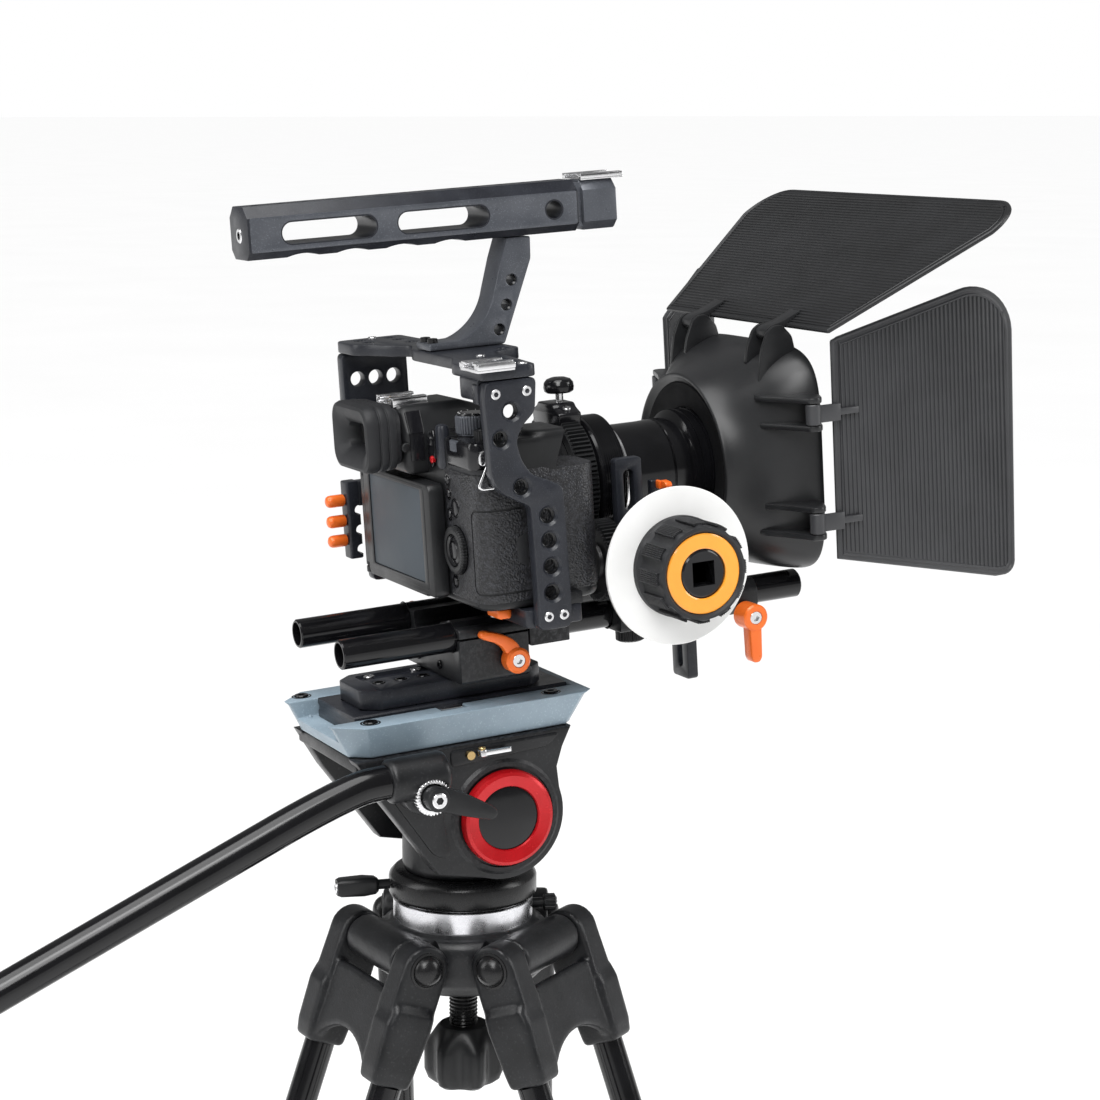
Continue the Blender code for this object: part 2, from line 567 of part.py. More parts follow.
def follow_focus(load):
    clamp = block("focus_bracket", (15, 70, 84.5), (47, 96, 101.5))
    cheek = block("cheek", (38.5, 73, 98), (44.5, 88, 174))
    slot = plate("slot", rounded((77.5, 147), (83.0, 168), 2.7, 3), "yz", 30.0, 50.0)
    gearbox = block("gearbox", (36.5, 73, 108), (80, 93, 142))
    shaft = cylinder("shaft", "x", (78, WHEEL_Y, WHEEL_Z), 8.0, 13.0, 24)
    axle = cylinder("axle", "y", (PINION_AXIS[0], 68.4, PINION_AXIS[1]), 10.0, 6.0, 16)
    bore = cylinder("bore", "y", (30, 60, ROD_Z), 50.0, ROD_RADIUS + GAP, 24)
    finish(cut(fuse(clamp, cheek, gearbox, shaft, axle), bore, slot), load, BLACK_PAINT)
    gear_axis = pivot("drive_gear_axis", load, (PINION_AXIS[0], 62, PINION_AXIS[1]))
    gear = cylinder("drive_gear", "y", (PINION_AXIS[0], 57.0, PINION_AXIS[1]), 11.0, PINION_RADIUS, 32)
    finish(gear, gear_axis, BLACK_PLASTIC)
    wheel_axis = pivot("handwheel_axis", load, (86, WHEEL_Y, WHEEL_Z))
    wheel = turned("handwheel", [(0.0, 35.0), (20.5, 35.0), (24.0, 33.0), (24.6, 12.0), (27.0, 9.0),
                                 (39.5, 9.0), (39.5, 6.6), (12.0, 6.6), (12.0, 0.4), (0.0, 0.4)], 28)
    wheel.data.transform(Matrix.Translation(Vector((86, WHEEL_Y, WHEEL_Z)) * MM) @ AXIS_TURN["x"])
    socket = block("socket", (111, WHEEL_Y - 6, WHEEL_Z - 6), (140, WHEEL_Y + 6, WHEEL_Z + 6))
    finish(cut(wheel, socket), wheel_axis, BLACK_PLASTIC)


# Matte box ------------------------------------------------------------------------------------
def frame_point(angle, mix):
    """A point on the shell's section: mix 0 is the round rim and 1 is the square front."""
    c, s = math.cos(angle), math.sin(angle)
    square = 1.0 / (abs(c) ** 5.0 + abs(s) ** 5.0) ** 0.2
    x = (RIM_RADIUS * (1 - mix) + FRONT_HALF[0] * square * mix) * c
    z = (RIM_RADIUS * (1 - mix) + FRONT_HALF[1] * square * mix) * s
    return x, z


def inside_of_shell():
    """The space inside the shell's wall, which the flag hinges stay out of."""
    sides = 32
    bm = bmesh.new()
    rings = []
    for y, mix in ((140.0, 0.10), (146.0, 0.22), (158.0, 0.62), (180.0, 1.0), (200.0, 1.0)):
        centre = LENS_Z + (MATTE_Z - LENS_Z) * mix
        ring = []
        for i in range(sides):
            x, z = frame_point(2 * math.pi * i / sides, mix)
            ring.append(bm.verts.new((x * 0.978 * MM, y * MM, (centre + z * 0.978) * MM)))
        rings.append(ring)
    for first, second in zip(rings, rings[1:]):
        for i in range(sides):
            j = (i + 1) % sides
            bm.faces.new((first[i], first[j], second[j], second[i]))
    bm.faces.new(rings[0])
    bm.faces.new(rings[-1])
    bmesh.ops.recalc_face_normals(bm, faces=bm.faces)
    return from_bmesh("inside", bm)


def matte_shell(carriage):
    sides = 32
    bm = bmesh.new()
    sections = [("hole", RIM_Y, 0.0), ("rim", RIM_Y, 0.0), ("wall", 146.0, 0.22), ("wall", 158.0, 0.62),
                ("wall", FRONT_Y, 1.0)]
    rings = []
    for kind, y, mix in sections:
        centre = LENS_Z + (MATTE_Z - LENS_Z) * mix
        ring = []
        for i in range(sides):
            x, z = frame_point(2 * math.pi * i / sides, mix)
            shrink = 33.0 / RIM_RADIUS if kind == "hole" else 1.0
            ring.append(bm.verts.new((x * shrink * MM, y * MM, (centre + z * shrink) * MM)))
        rings.append(ring)
    for first, second in zip(rings, rings[1:]):
        for i in range(sides):
            j = (i + 1) % sides
            bm.faces.new((first[i], first[j], second[j], second[i]))
    bmesh.ops.recalc_face_normals(bm, faces=bm.faces)
    shell = from_bmesh("matte_shell", bm)
    thick = shell.modifiers.new("wall", "SOLIDIFY")
    thick.thickness = 2.4 * MM
    thick.offset = -1.0
    shell = solid(shell)
    ears = []
    outer_fin = [(155.5, 203.0), (158.2, 221.0), (162.0, 230.0), (166.0, 232.9), (171.0, 232.9),
                 (176.5, 227.0), (178.5, 217.5), (165.0, 211.0)]
    inner_fin = [(156.5, 212.5), (158.2, 221.0), (162.0, 230.0), (166.0, 232.9), (171.0, 232.9),
                 (176.5, 227.0), (178.5, 219.3), (165.0, 216.0)]
    for sign in (-1, 1):
        for fin, x in ((inner_fin, 31.5), (outer_fin, 46.5)):
            low, high = sorted((sign * x, sign * (x + 2.5)))
            ears.append(plate("ear", fin[::-1], "yz", low, high))
    leaf = [(50, 151), (56, 152), (66, 157), (78, 161.5), (85.5, 164), (86.8, 168.5), (84, 172), (74, 176.5),
            (50, 178)]
    for sign in (-1, 1):
        for z in (UPPER_HINGE_Z, LOWER_HINGE_Z):
            for low in (-8.6, 5.6):
                points = leaf if sign > 0 else [(-x, y) for x, y in leaf[::-1]]
                ear = plate("ear", points, "xy", z + low, z + low + 3.0)
                ears.append(cut(ear, inside_of_shell()))
    finish(fuse(shell, *ears), carriage, BLACK_PLASTIC)


def matte_mount(carriage):
    clamp = block("matte_mount", (-45, 130, 83.0), (45, 152, 101.5))
    bar = block("bar", (-9, 127.6, 44.0), (9, 133.6, 124.0))
    bores = [cylinder("bore", "y", (x, 110, ROD_Z), 60.0, ROD_RADIUS + GAP, 24) for x in (-30, 30)]
    slot = block("slot", (-2.6, 120, 50), (2.6, 140.0, 78))
    finish(cut(fuse(clamp, bar), *bores, slot), carriage, BLACK_PAINT)
    axis = pivot("matte_lever_axis", carriage, (46, 143, 84))
    lever = cylinder("matte_lever", "x", (45.4, 143, 84), 13.0, 7.0, 16)
    tail = block("tail", (49.0, 139.5, 60.0), (57.5, 146.5, 84.0))
    finish(fuse(lever, tail), axis, ORANGE)


def flags(carriage):
    top_y, top_z = TOP_HINGE
    hinge = pivot("top_flag_hinge", carriage, (0, top_y, top_z))
    turn = Matrix.Rotation(math.radians(TOP_FLAG_TILT), 4, "X")
    lift = Matrix.Translation(Vector((0, top_y, top_z)) * MM) @ turn
    half = [(86, 9.3), (125, 92), (125.4, 102), (121.5, 111), (112, 118.5), (100, 121.4)]
    leaf = plate("flag_top", half + [(-x, y) for x, y in half[::-1]], "xy", -4.0, -1.5)
    arms = [block("arm", (x - 5.2, -3.4, -3.2), (x + 5.2, 21.0, 1.6)) for x in (-TOP_HINGE_X, TOP_HINGE_X)]
    leaf = fuse(leaf, *arms)
    leaf.data.transform(lift)
    finish(leaf, hinge, BLACK_PLASTIC)
    outline = [(11.8, 114), (12.4, 226), (16, 228), (78, 243), (90, 246), (100, 245.4), (110, 242),
               (118.5, 235), (122.4, 224), (122.4, 218), (120.6, 98), (117.6, 92.7), (108, 91.6)]
    for side, sign, swing in (("right", 1, 0.0), ("left", -1, LEFT_FLAG_SWING)):
        hinge = pivot(side + "_flag_hinge", carriage, (sign * SIDE_HINGE_X, SIDE_HINGE_Y, MATTE_Z))
        low, high = sorted((sign * -2.0, sign * 0.5))
        leaf = plate("flag_" + side, [(y, z - MATTE_Z) for y, z in outline[::-1]], "yz", low, high)
        low, high = sorted((sign * -1.5, sign * 4.5))
        arms = [block("arm", (low, -3.6, z - MATTE_Z - 5.3), (high, 26.0, z - MATTE_Z + 5.3))
                for z in (UPPER_HINGE_Z, LOWER_HINGE_Z)]
        leaf = fuse(leaf, *arms)
        leaf.data.transform(Matrix.Translation(Vector((sign * SIDE_HINGE_X, SIDE_HINGE_Y, MATTE_Z)) * MM)
                            @ Matrix.Rotation(math.radians(swing), 4, "Z"))
        finish(leaf, hinge, BLACK_PLASTIC)


# Build ----------------------------------------------------------------------------------------
def centre_on_floor():
    """Move the whole object so that its box stands on the origin."""
    bpy.context.view_layer.update()
    corners = [thing.matrix_world @ vert.co for thing in PARTS.objects
               if thing.type == "MESH" for vert in thing.data.vertices]
    low = [min(c[i] for c in corners) for i in range(3)]
    high = [max(c[i] for c in corners) for i in range(3)]
    ROOT.location = (-(low[0] + high[0]) * 0.5, -(low[1] + high[1]) * 0.5, -low[2])


clear_scene()
PARTS = collection("cinema_camera_rig")
CUTTERS = collection("cutters")

BLACK_PAINT = material("black_paint", (0.022, 0.023, 0.026), 0.45, 0.1)
BLACK_ALUMINIUM = material("black_aluminium", (0.045, 0.05, 0.06), 0.38, 0.6)
GREY_PAINT = material("grey_paint", (0.42, 0.50, 0.56), 0.5, 0.0)
BLACK_PLASTIC = material("black_plastic", (0.03, 0.03, 0.033), 0.5, 0.0)
RUBBER = material("rubber", (0.02, 0.02, 0.02), 0.8, 0.0)
ORANGE = material("orange", (0.85, 0.2, 0.03), 0.4, 0.0)
RED = material("red", (0.6, 0.01, 0.02), 0.35, 0.2)
BRIGHT = material("bright_metal", (0.75, 0.75, 0.76), 0.25, 1.0)

ROOT = empty("floor_centre", None)
STAND = empty("stand", ROOT, (0, PAN_OFFSET, 0))
tripod_shoulder()
bowl_parts()
for leg_name, leg_azimuth in LEG_AZIMUTHS.items():
    leg(leg_name, leg_azimuth)
head_base()
PAN = head_core()
TILT = empty("tilt_axis", PAN, (0, -PAN_OFFSET, 36.5), (TILT_AT_REST, 0, 0))
tilt_cradle()
LOAD = plate_tray()
pan_handle()
baseplate(LOAD)
cage(LOAD)
top_handle(LOAD)
cable_clamp(LOAD)
release_lever(LOAD)
camera(LOAD)
lens(LOAD)
follow_focus(LOAD)
CARRIAGE = pivot("matte_slide_axis", LOAD, (0, 143, ROD_Z))
matte_shell(CARRIAGE)
matte_mount(CARRIAGE)
flags(CARRIAGE)
centre_on_floor()
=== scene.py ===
"""Looks of the cinema camera rig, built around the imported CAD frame.

Shapes are drawn in millimetres in one of the frame's own coordinate systems and turned into
metres when a piece is made.  CRADLE leans with the tilting head and carries the camera, STAND
is upright on the pan axis, and each leg has its own.
"""

import json
import math

import bmesh
import bpy
from mathutils import Matrix, Vector

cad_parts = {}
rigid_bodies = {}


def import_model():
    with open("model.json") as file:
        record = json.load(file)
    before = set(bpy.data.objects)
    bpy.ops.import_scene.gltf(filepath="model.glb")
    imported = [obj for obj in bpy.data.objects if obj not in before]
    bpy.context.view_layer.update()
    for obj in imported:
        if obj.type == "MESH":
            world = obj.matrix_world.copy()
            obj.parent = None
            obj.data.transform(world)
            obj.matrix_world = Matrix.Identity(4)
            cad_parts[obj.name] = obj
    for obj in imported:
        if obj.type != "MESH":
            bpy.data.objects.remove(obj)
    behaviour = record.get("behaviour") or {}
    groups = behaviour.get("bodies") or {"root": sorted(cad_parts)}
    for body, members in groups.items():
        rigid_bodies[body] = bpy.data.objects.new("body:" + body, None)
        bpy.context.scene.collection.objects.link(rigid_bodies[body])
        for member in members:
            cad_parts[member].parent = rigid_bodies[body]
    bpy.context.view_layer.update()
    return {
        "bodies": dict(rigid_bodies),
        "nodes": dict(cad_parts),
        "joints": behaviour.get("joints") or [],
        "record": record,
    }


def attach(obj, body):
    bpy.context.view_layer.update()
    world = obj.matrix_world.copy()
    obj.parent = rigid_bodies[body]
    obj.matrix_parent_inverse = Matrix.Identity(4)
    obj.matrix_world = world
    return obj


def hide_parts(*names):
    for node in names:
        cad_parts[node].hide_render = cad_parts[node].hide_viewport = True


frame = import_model()
MM = 0.001
JOINTS = {joint["name"]: joint for joint in frame["joints"]}


# Coordinate systems ---------------------------------------------------------------------------
def basis(origin, x, y):
    """A frame from its origin and its x and y directions."""
    x, y = Vector(x).normalized(), Vector(y).normalized()
    return Matrix.Translation(origin) @ Matrix((x, y, x.cross(y))).transposed().to_4x4()


def joint_point(name):
    return Vector(JOINTS[name]["pos_m"])


def leg_frame(name):
    """x along the hinge, z up the leg."""
    x = -Vector(JOINTS["leg_fold_" + name]["axis"])
    z = -Vector(JOINTS["leg_extend_" + name]["axis"])
    return basis(joint_point("leg_fold_" + name), x, z.cross(x))


CRADLE = basis(joint_point("tilt"), JOINTS["tilt"]["axis"], JOINTS["matte_slide"]["axis"])
STAND = Matrix.Translation((joint_point("pan").x, joint_point("pan").y, joint_point("tilt").z))


def span(node, place=CRADLE):
    """Lowest and highest corner of a CAD node along a frame's own axes, in mm."""
    back = place.inverted()
    points = [back @ vert.co / MM for vert in frame["nodes"][node].data.vertices]
    return (Vector([min(p[i] for p in points) for i in range(3)]),
            Vector([max(p[i] for p in points) for i in range(3)]))


def joint_spot(name, place=CRADLE):
    """A joint's point in a frame, in mm."""
    return place.inverted() @ joint_point(name) / MM


# Shapes: each is a mesh in mm -------------------------------------------------------------------
def mesh_of(bm):
    bmesh.ops.recalc_face_normals(bm, faces=bm.faces)
    mesh = bpy.data.meshes.new("shape")
    bm.to_mesh(mesh)
    bm.free()
    return mesh


def temporary(data):
    thing = bpy.data.objects.new("shape", data)
    bpy.context.scene.collection.objects.link(thing)
    return thing


def baked(thing):
    """The evaluated mesh of a working object, which is then removed."""
    graph = bpy.context.evaluated_depsgraph_get()
    mesh = bpy.data.meshes.new_from_object(thing.evaluated_get(graph))
    bpy.data.objects.remove(thing)
    bm = bmesh.new()
    bm.from_mesh(mesh)
    bmesh.ops.remove_doubles(bm, verts=bm.verts, dist=0.002)
    bm.to_mesh(mesh)
    bm.free()
    return mesh


def modified(mesh, kind, **settings):
    thing = temporary(mesh)
    modifier = thing.modifiers.new(kind.lower(), kind)
    for key, value in settings.items():
        setattr(modifier, key, value)
    return baked(thing)


def soften(mesh, width, segments=2, angle=28.0):
    """Round the edges that are sharper than an angle."""
    return modified(mesh, "BEVEL", width=width, segments=segments, limit_method="ANGLE",
                    angle_limit=math.radians(angle), use_clamp_overlap=True)


def cut(mesh, *tools):
    for tool in tools:
        cutter = temporary(tool)
        mesh = modified(mesh, "BOOLEAN", operation="DIFFERENCE", solver="EXACT", object=cutter)
        bpy.data.objects.remove(cutter)
    return mesh


def join(*meshes):
    bm = bmesh.new()
    for mesh in meshes:
        bm.from_mesh(mesh)
    joined = bpy.data.meshes.new("shape")
    bm.to_mesh(joined)
    bm.free()
    return joined


def moved(mesh, matrix):
    copy = mesh.copy()
    copy.transform(matrix)
    if matrix.determinant() < 0:
        copy.flip_normals()
    return copy


def shift(x, y, z):
    return Matrix.Translation((x, y, z))


def turn(degrees, axis, about=(0, 0, 0)):
    spin = Matrix.Rotation(math.radians(degrees), 4, axis)
    return Matrix.Translation(about) @ spin @ Matrix.Translation(-Vector(about))


MIRROR_X = Matrix.Scale(-1.0, 4, (1, 0, 0))


def box(low, high, edge=0.6, segments=2):
    """A block between two corners with its edges rounded."""
    bm = bmesh.new()
    bmesh.ops.create_cube(bm, size=1.0)
    low, high = Vector(low), Vector(high)
    bmesh.ops.scale(bm, vec=high - low, verts=bm.verts)
    bmesh.ops.translate(bm, vec=(low + high) * 0.5, verts=bm.verts)
    if edge:
        bmesh.ops.bevel(bm, geom=bm.edges[:], offset=edge, segments=segments, profile=0.5, affect="EDGES")
    return mesh_of(bm)


PLANES = {"z": Matrix.Identity(4),
          "x": Matrix(((0, 0, 1, 0), (1, 0, 0, 0), (0, 1, 0, 0), (0, 0, 0, 1))),
          "y": Matrix(((1, 0, 0, 0), (0, 0, -1, 0), (0, 1, 0, 0), (0, 0, 0, 1)))}


def plate(outline, axis, low, high, holes=(), edge=0.5):
    """An outline across an axis, filled between low and high, with holes and rounded edges."""
    curve = bpy.data.curves.new("plate", "CURVE")
    curve.dimensions = "2D"
    curve.fill_mode = "BOTH"
    curve.bevel_depth = edge
    curve.bevel_resolution = 1
    curve.offset = -edge
    curve.extrude = max((high - low) * 0.5 - edge, 0.01)
    for loop in (outline, *holes):
        spline = curve.splines.new("POLY")
        spline.points.add(len(loop) - 1)
        for point, (a, b) in zip(spline.points, loop):
            point.co = (a, b, 0.0, 1.0)
        spline.use_cyclic_u = True
    mesh = baked(temporary(curve))
    mesh.transform(PLANES[axis])
    middle = (low + high) * 0.5
    return moved(mesh, shift(*(middle if name == axis else 0.0 for name in "xyz")))


def circle(a, b, radius, sides=24):
    return arc((a, b), radius, 0, 360 - 360 / sides, sides - 1)


def arc(centre, radius, start, end, steps=8):
    angles = [math.radians(start + (end - start) * i / steps) for i in range(steps + 1)]
    return [(centre[0] + radius * math.cos(a), centre[1] + radius * math.sin(a)) for a in angles]


def rounded(low, high, radius, steps=5):
    """A rectangle's outline with round corners."""
    (x0, y0), (x1, y1) = low, high
    corners = (((x1 - radius, y1 - radius), 0), ((x0 + radius, y1 - radius), 90),
               ((x0 + radius, y0 + radius), 180), ((x1 - radius, y0 + radius), 270))
    return [p for centre, start in corners for p in arc(centre, radius, start, start + 90, steps)]


def filleted(points, radius, steps=4):
    """A polygon's outline with each corner rounded."""
    out = []
    count = len(points)
    for i, corner in enumerate(points):
        corner = Vector(corner)
        before, after = Vector(points[i - 1]) - corner, Vector(points[(i + 1) % count]) - corner
        reach = min(radius, before.length * 0.48, after.length * 0.48)
        start, end = corner + before.normalized() * reach, corner + after.normalized() * reach
        for k in range(steps + 1):
            t = k / steps
            out.append(tuple((1 - t) ** 2 * start + 2 * t * (1 - t) * corner + t * t * end))
    return out


DIRECTIONS = {"x": (1, 0, 0), "y": (0, 1, 0), "z": (0, 0, 1), "-x": (-1, 0, 0), "-y": (0, -1, 0),
              "-z": (0, 0, -1)}


def aimed(axis, at):
    """A matrix that stands the z axis along a direction at a point."""
    direction = Vector(DIRECTIONS[axis] if isinstance(axis, str) else axis)
    return Matrix.Translation(at) @ direction.to_track_quat("Z", "Y").to_matrix().to_4x4()


def lathe(profile, axis="z", at=(0, 0, 0), sides=48, shape=None):
    """A turned shape.  A profile point is (radius, height) or (radius, height, depth), where
    shape(angle), from 0 to 1, says how much of the depth is taken off the radius."""
    bm = bmesh.new()
    rings = []
    for radius, height, *depth in profile:
        if radius == 0:
            rings.append([bm.verts.new((0, 0, height))])
            continue
        ring = []
        for i in range(sides):
            angle = 2 * math.pi * i / sides
            r = radius - (depth[0] * shape(angle) if depth else 0.0)
            ring.append(bm.verts.new((r * math.cos(angle), r * math.sin(angle), height)))
        rings.append(ring)
    closed = profile[0][0] != 0
    for first, second in zip(rings, rings[1:] + rings[:1] if closed else rings[1:]):
        for i in range(sides):
            j = (i + 1) % sides
            corners = [first[i % len(first)], first[j % len(first)], second[j % len(second)],
                       second[i % len(second)]]
            unique = list(dict.fromkeys(corners))
            if len(unique) > 2:
                bm.faces.new(unique)
    return moved(mesh_of(bm), aimed(axis, at))


def rod(at, axis, radius, length, sides):
    """A plain round bar, mostly to drill with."""
    return lathe([(0, length), (radius, length), (radius, 0), (0, 0)], axis, at, sides)


def hexagon(angle):
    return 1.0 - math.cos(math.pi / 6) / math.cos(angle % (math.pi / 3) - math.pi / 6)


def teeth(count):
    return lambda angle: 1.0 if (angle * count / (2 * math.pi) + 0.25) % 1.0 >= 0.5 else 0.0


def lobes(count):
    return lambda angle: 0.5 - 0.5 * math.cos(angle * count)


def screw(at, axis, radius, height=1.6):
    """A cap screw's head with a hexagon socket, standing on a face."""
    socket, floor = radius * 0.52, height - min(1.4, height * 0.8)
    return lathe([(0, floor), (socket, floor, socket), (socket, height, socket), (radius * 0.86, height),
                  (radius, height - 0.35), (radius, 0), (0, 0)], axis, at, 24, hexagon)


def knurled(at, axis, radius, height, count, depth=0.4, edge=0.6):
    """A disc with a toothed rim."""
    return lathe([(0, height), (radius - edge - depth, height), (radius, height - edge, depth),
                  (radius, edge, depth), (radius - edge - depth, 0), (0, 0)], axis, at, count * 4,
                 teeth(count))


def disc(at, axis, radius, height, edge=0.5, sides=40):
    return lathe([(0, height), (radius - edge, height), (radius - edge * 0.3, height - edge * 0.3),
                  (radius, height - edge), (radius, edge * 0.5), (radius - edge * 0.5, 0), (0, 0)], axis, at,
                 sides)


def dome(at, axis, radius, height, steps=6):
    """A rounded cap."""
    curve = [(radius * math.cos(a), height * math.sin(a))
             for a in (math.pi / 2 * i / steps for i in range(steps))]
    return lathe([(0, height)] + curve[::-1] + [(0, 0)], axis, at, 32)


def pipe(points, radius, closed=False, resolution=3):
    """A round bar along points."""
    curve = bpy.data.curves.new("pipe", "CURVE")
    curve.dimensions = "3D"
    curve.bevel_depth = radius
    curve.bevel_resolution = resolution
    curve.use_fill_caps = True
    spline = curve.splines.new("POLY")
    spline.points.add(len(points) - 1)
    for point, co in zip(spline.points, points):
        point.co = (*co, 1.0)
    spline.use_cyclic_u = closed
    return baked(temporary(curve))


def flowing(points, steps=8):
    """A smooth line through points."""
    points = [Vector(p) for p in points]
    padded = [2 * points[0] - points[1]] + points + [2 * points[-1] - points[-2]]
    out = []
    for a, b, c, d in zip(padded, padded[1:], padded[2:], padded[3:]):
        for k in range(steps):
            t = k / steps
            out.append(0.5 * (2 * b + (c - a) * t + (2 * a - 5 * b + 4 * c - d) * t * t
                              + (3 * b - a - 3 * c + d) * t ** 3))
    return out + [points[-1]]


def loft(rings, caps=True):
    """A skin over closed rings that have the same number of points."""
    bm = bmesh.new()
    loops = [[bm.verts.new(p) for p in ring] for ring in rings]
    for first, second in zip(loops, loops[1:]):
        for i in range(len(first)):
            j = (i + 1) % len(first)
            bm.faces.new((first[i], first[j], second[j], second[i]))
    if caps:
        bm.faces.new(loops[0][::-1])
        bm.faces.new(loops[-1])
    return mesh_of(bm)


def piece(name, body, finish, *shapes, place=CRADLE, stands_for=(), sharp=30.0):
    """Join shapes into one object that rides on a body, in place of CAD nodes or beside them."""
    mesh = join(*shapes)
    mesh.name = name
    mesh.transform(place @ Matrix.Scale(MM, 4))
    mesh.shade_smooth()
    mesh.set_sharp_from_angle(angle=math.radians(sharp))
    mesh.materials.clear()
    mesh.materials.append(finish)
    thing = bpy.data.objects.new(name, mesh)
    bpy.context.scene.collection.objects.link(thing)
    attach(thing, body)
    if stands_for:
        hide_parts(*([stands_for] if isinstance(stands_for, str) else stands_for))
    return thing


# Materials --------------------------------------------------------------------------------------
class Graph:
    """A short way to write one material's nodes."""

    def __init__(self, name, slot=None):
        self.material = bpy.data.materials.new(name)
        self.material.use_nodes = True
        if slot:
            self.material["slot"] = slot
        self.tree = self.material.node_tree
        self.shader = self.tree.nodes["Principled BSDF"]
        self.place = self.add("ShaderNodeTexCoord").outputs["Object"]

    def add(self, kind, settings=None, **inputs):
        node = self.tree.nodes.new(kind)
        for key, value in (settings or {}).items():
            setattr(node, key, value)
        for key, value in inputs.items():
            self.set(node.inputs[key.replace("_", " ")], value)
        return node

    def set(self, socket, value):
        if isinstance(value, bpy.types.NodeSocket):
            self.tree.links.new(value, socket)
        else:
            socket.default_value = value

    def noise(self, size, detail=3.0, rough=0.55, stretch=(1, 1, 1)):
        """A noise whose blotches are about size mm across."""
        where = self.add("ShaderNodeVectorMath", {"operation": "MULTIPLY"})
        self.set(where.inputs[0], self.place)
        self.set(where.inputs[1], stretch)
        return self.add("ShaderNodeTexNoise", Vector=where.outputs[0], Scale=1.0 / (size * MM),
                        Detail=detail, Roughness=rough).outputs["Fac"]

    def cells(self, size, feature="F1"):
        return self.add("ShaderNodeTexVoronoi", {"feature": feature}, Vector=self.place,
                        Scale=1.0 / (size * MM)).outputs["Distance"]

    def remap(self, value, low, high, to_low=0.0, to_high=1.0):
        return self.add("ShaderNodeMapRange", Value=value, From_Min=low, From_Max=high,
                        To_Min=to_low, To_Max=to_high).outputs["Result"]

    def mix(self, factor, first, second):
        node = self.add("ShaderNodeMix", {"data_type": "RGBA"})
        self.set(node.inputs["Factor"], factor)
        self.set(node.inputs[6], (*first, 1.0) if isinstance(first, tuple) else first)
        self.set(node.inputs[7], (*second, 1.0) if isinstance(second, tuple) else second)
        return node.outputs[2]

    def multiply(self, first, second):
        node = self.add("ShaderNodeMath", {"operation": "MULTIPLY"})
        self.set(node.inputs[0], first)
        self.set(node.inputs[1], second)
        return node.outputs[0]

    def relief(self, height, depth, strength=1.0, before=None):
        """A bump of depth mm."""
        node = self.add("ShaderNodeBump", Height=height, Distance=depth * MM, Strength=strength)
        if before:
            self.set(node.inputs["Normal"], before)
        return node.outputs["Normal"]

    def finish(self, color, rough, normal=None, **constants):
        self.set(self.shader.inputs["Base Color"], color)
        self.set(self.shader.inputs["Roughness"], rough)
        if normal:
            self.set(self.shader.inputs["Normal"], normal)
        for key, value in constants.items():
            self.shader.inputs[key.replace("_", " ")].default_value = value
        return self.material


def coated(name, slot, dark, light, rough, metal=0.0, blotch=18.0, grain=0.5, depth=0.03, specks=0.0,
           wear=None, **constants):
    """A painted, anodised or moulded finish: colour and gloss that drift, a fine grain in relief,
    pale specks of grit and worn edges."""
    g = Graph(name, slot)
    drift = g.remap(g.noise(blotch), 0.3, 0.7)
    fine = g.noise(grain, 2.0, 0.6)
    color = g.mix(drift, dark, light)
    if specks:
        spots = g.remap(g.noise(grain * 1.7, 1.0, 0.4), 0.62, 0.72)
        pale = tuple(min(1.0, c * 2.6 + 0.05) for c in light)
        color = g.mix(g.multiply(spots, specks), color, pale)
    if wear:
        edge = g.add("ShaderNodeNewGeometry").outputs["Pointiness"]
        rubbed = g.multiply(g.remap(edge, 0.54, 0.66), g.remap(g.noise(2.0), 0.46, 0.62))
        color = g.mix(g.multiply(rubbed, 0.5), color, wear)
    sheen = g.remap(g.noise(blotch * 0.4, 4.0), 0.25, 0.75, rough[0], rough[1])
    return g.finish(color, sheen, g.relief(fine, depth), Metallic=metal, **constants)


def brushed(name, slot, color, rough, along=(1, 1, 1), dull=(0.7, 0.7, 0.7)):
    """Turned or brushed bare metal with fine lines across a direction."""
    g = Graph(name, slot)
    lines = g.noise(0.35, 4.0, 0.7, along)
    tint = g.mix(g.remap(lines, 0.3, 0.7), tuple(c * d for c, d in zip(color, dull)), color)
    smooth = g.remap(g.noise(6.0), 0.3, 0.7, rough[0], rough[1])
    return g.finish(tint, smooth, g.relief(lines, 0.01), Metallic=1.0)


def leather():
    """Pebbled rubber covering, with painted shade in the hollows between the pebbles."""
    g = Graph("pebbled_covering", "black_plastic")
    pebbles = g.cells(0.95, "SMOOTH_F1")
    height = g.remap(pebbles, 0.1, 0.75, 1.0, 0.0)
    crease_shade = g.remap(g.noise(2.2, 2.0), 0.35, 0.65)
    # Painted shade: the pebble tops are lighter and the hollows and creases between them darker.
    color = g.mix(g.multiply(height, crease_shade), (0.006, 0.006, 0.007), (0.034, 0.0355, 0.042))
    normal = g.relief(height, 0.26, before=g.relief(g.noise(0.25), 0.02))
    return g.finish(color, g.remap(pebbles, 0.0, 0.8, 0.30, 0.50), normal, Specular_IOR_Level=0.46)


def screen_glass():
    g = Graph("screen_glass", "black_plastic")
    smudge = g.remap(g.noise(22.0, 4.0, 0.6), 0.35, 0.7)
    tint = g.mix(smudge, (0.030, 0.041, 0.052), (0.040, 0.052, 0.064))
    return g.finish(tint, g.remap(smudge, 0.0, 1.0, 0.50, 0.60))


def lens_glass():
    g = Graph("coated_glass", "black_plastic")
    # Painted reflection: the colour turns purple where the glass is seen edge-on, standing in for the
    # coating's reflection.
    rim = g.add("ShaderNodeLayerWeight", Blend=0.35).outputs["Facing"]
    dust = g.noise(9.0, 3.0)
    tint = g.mix(rim, (0.004, 0.006, 0.014), (0.05, 0.02, 0.09))
    return g.finish(tint, g.remap(dust, 0.3, 0.8, 0.02, 0.09), Coat_Weight=1.0, Coat_Roughness=0.02)


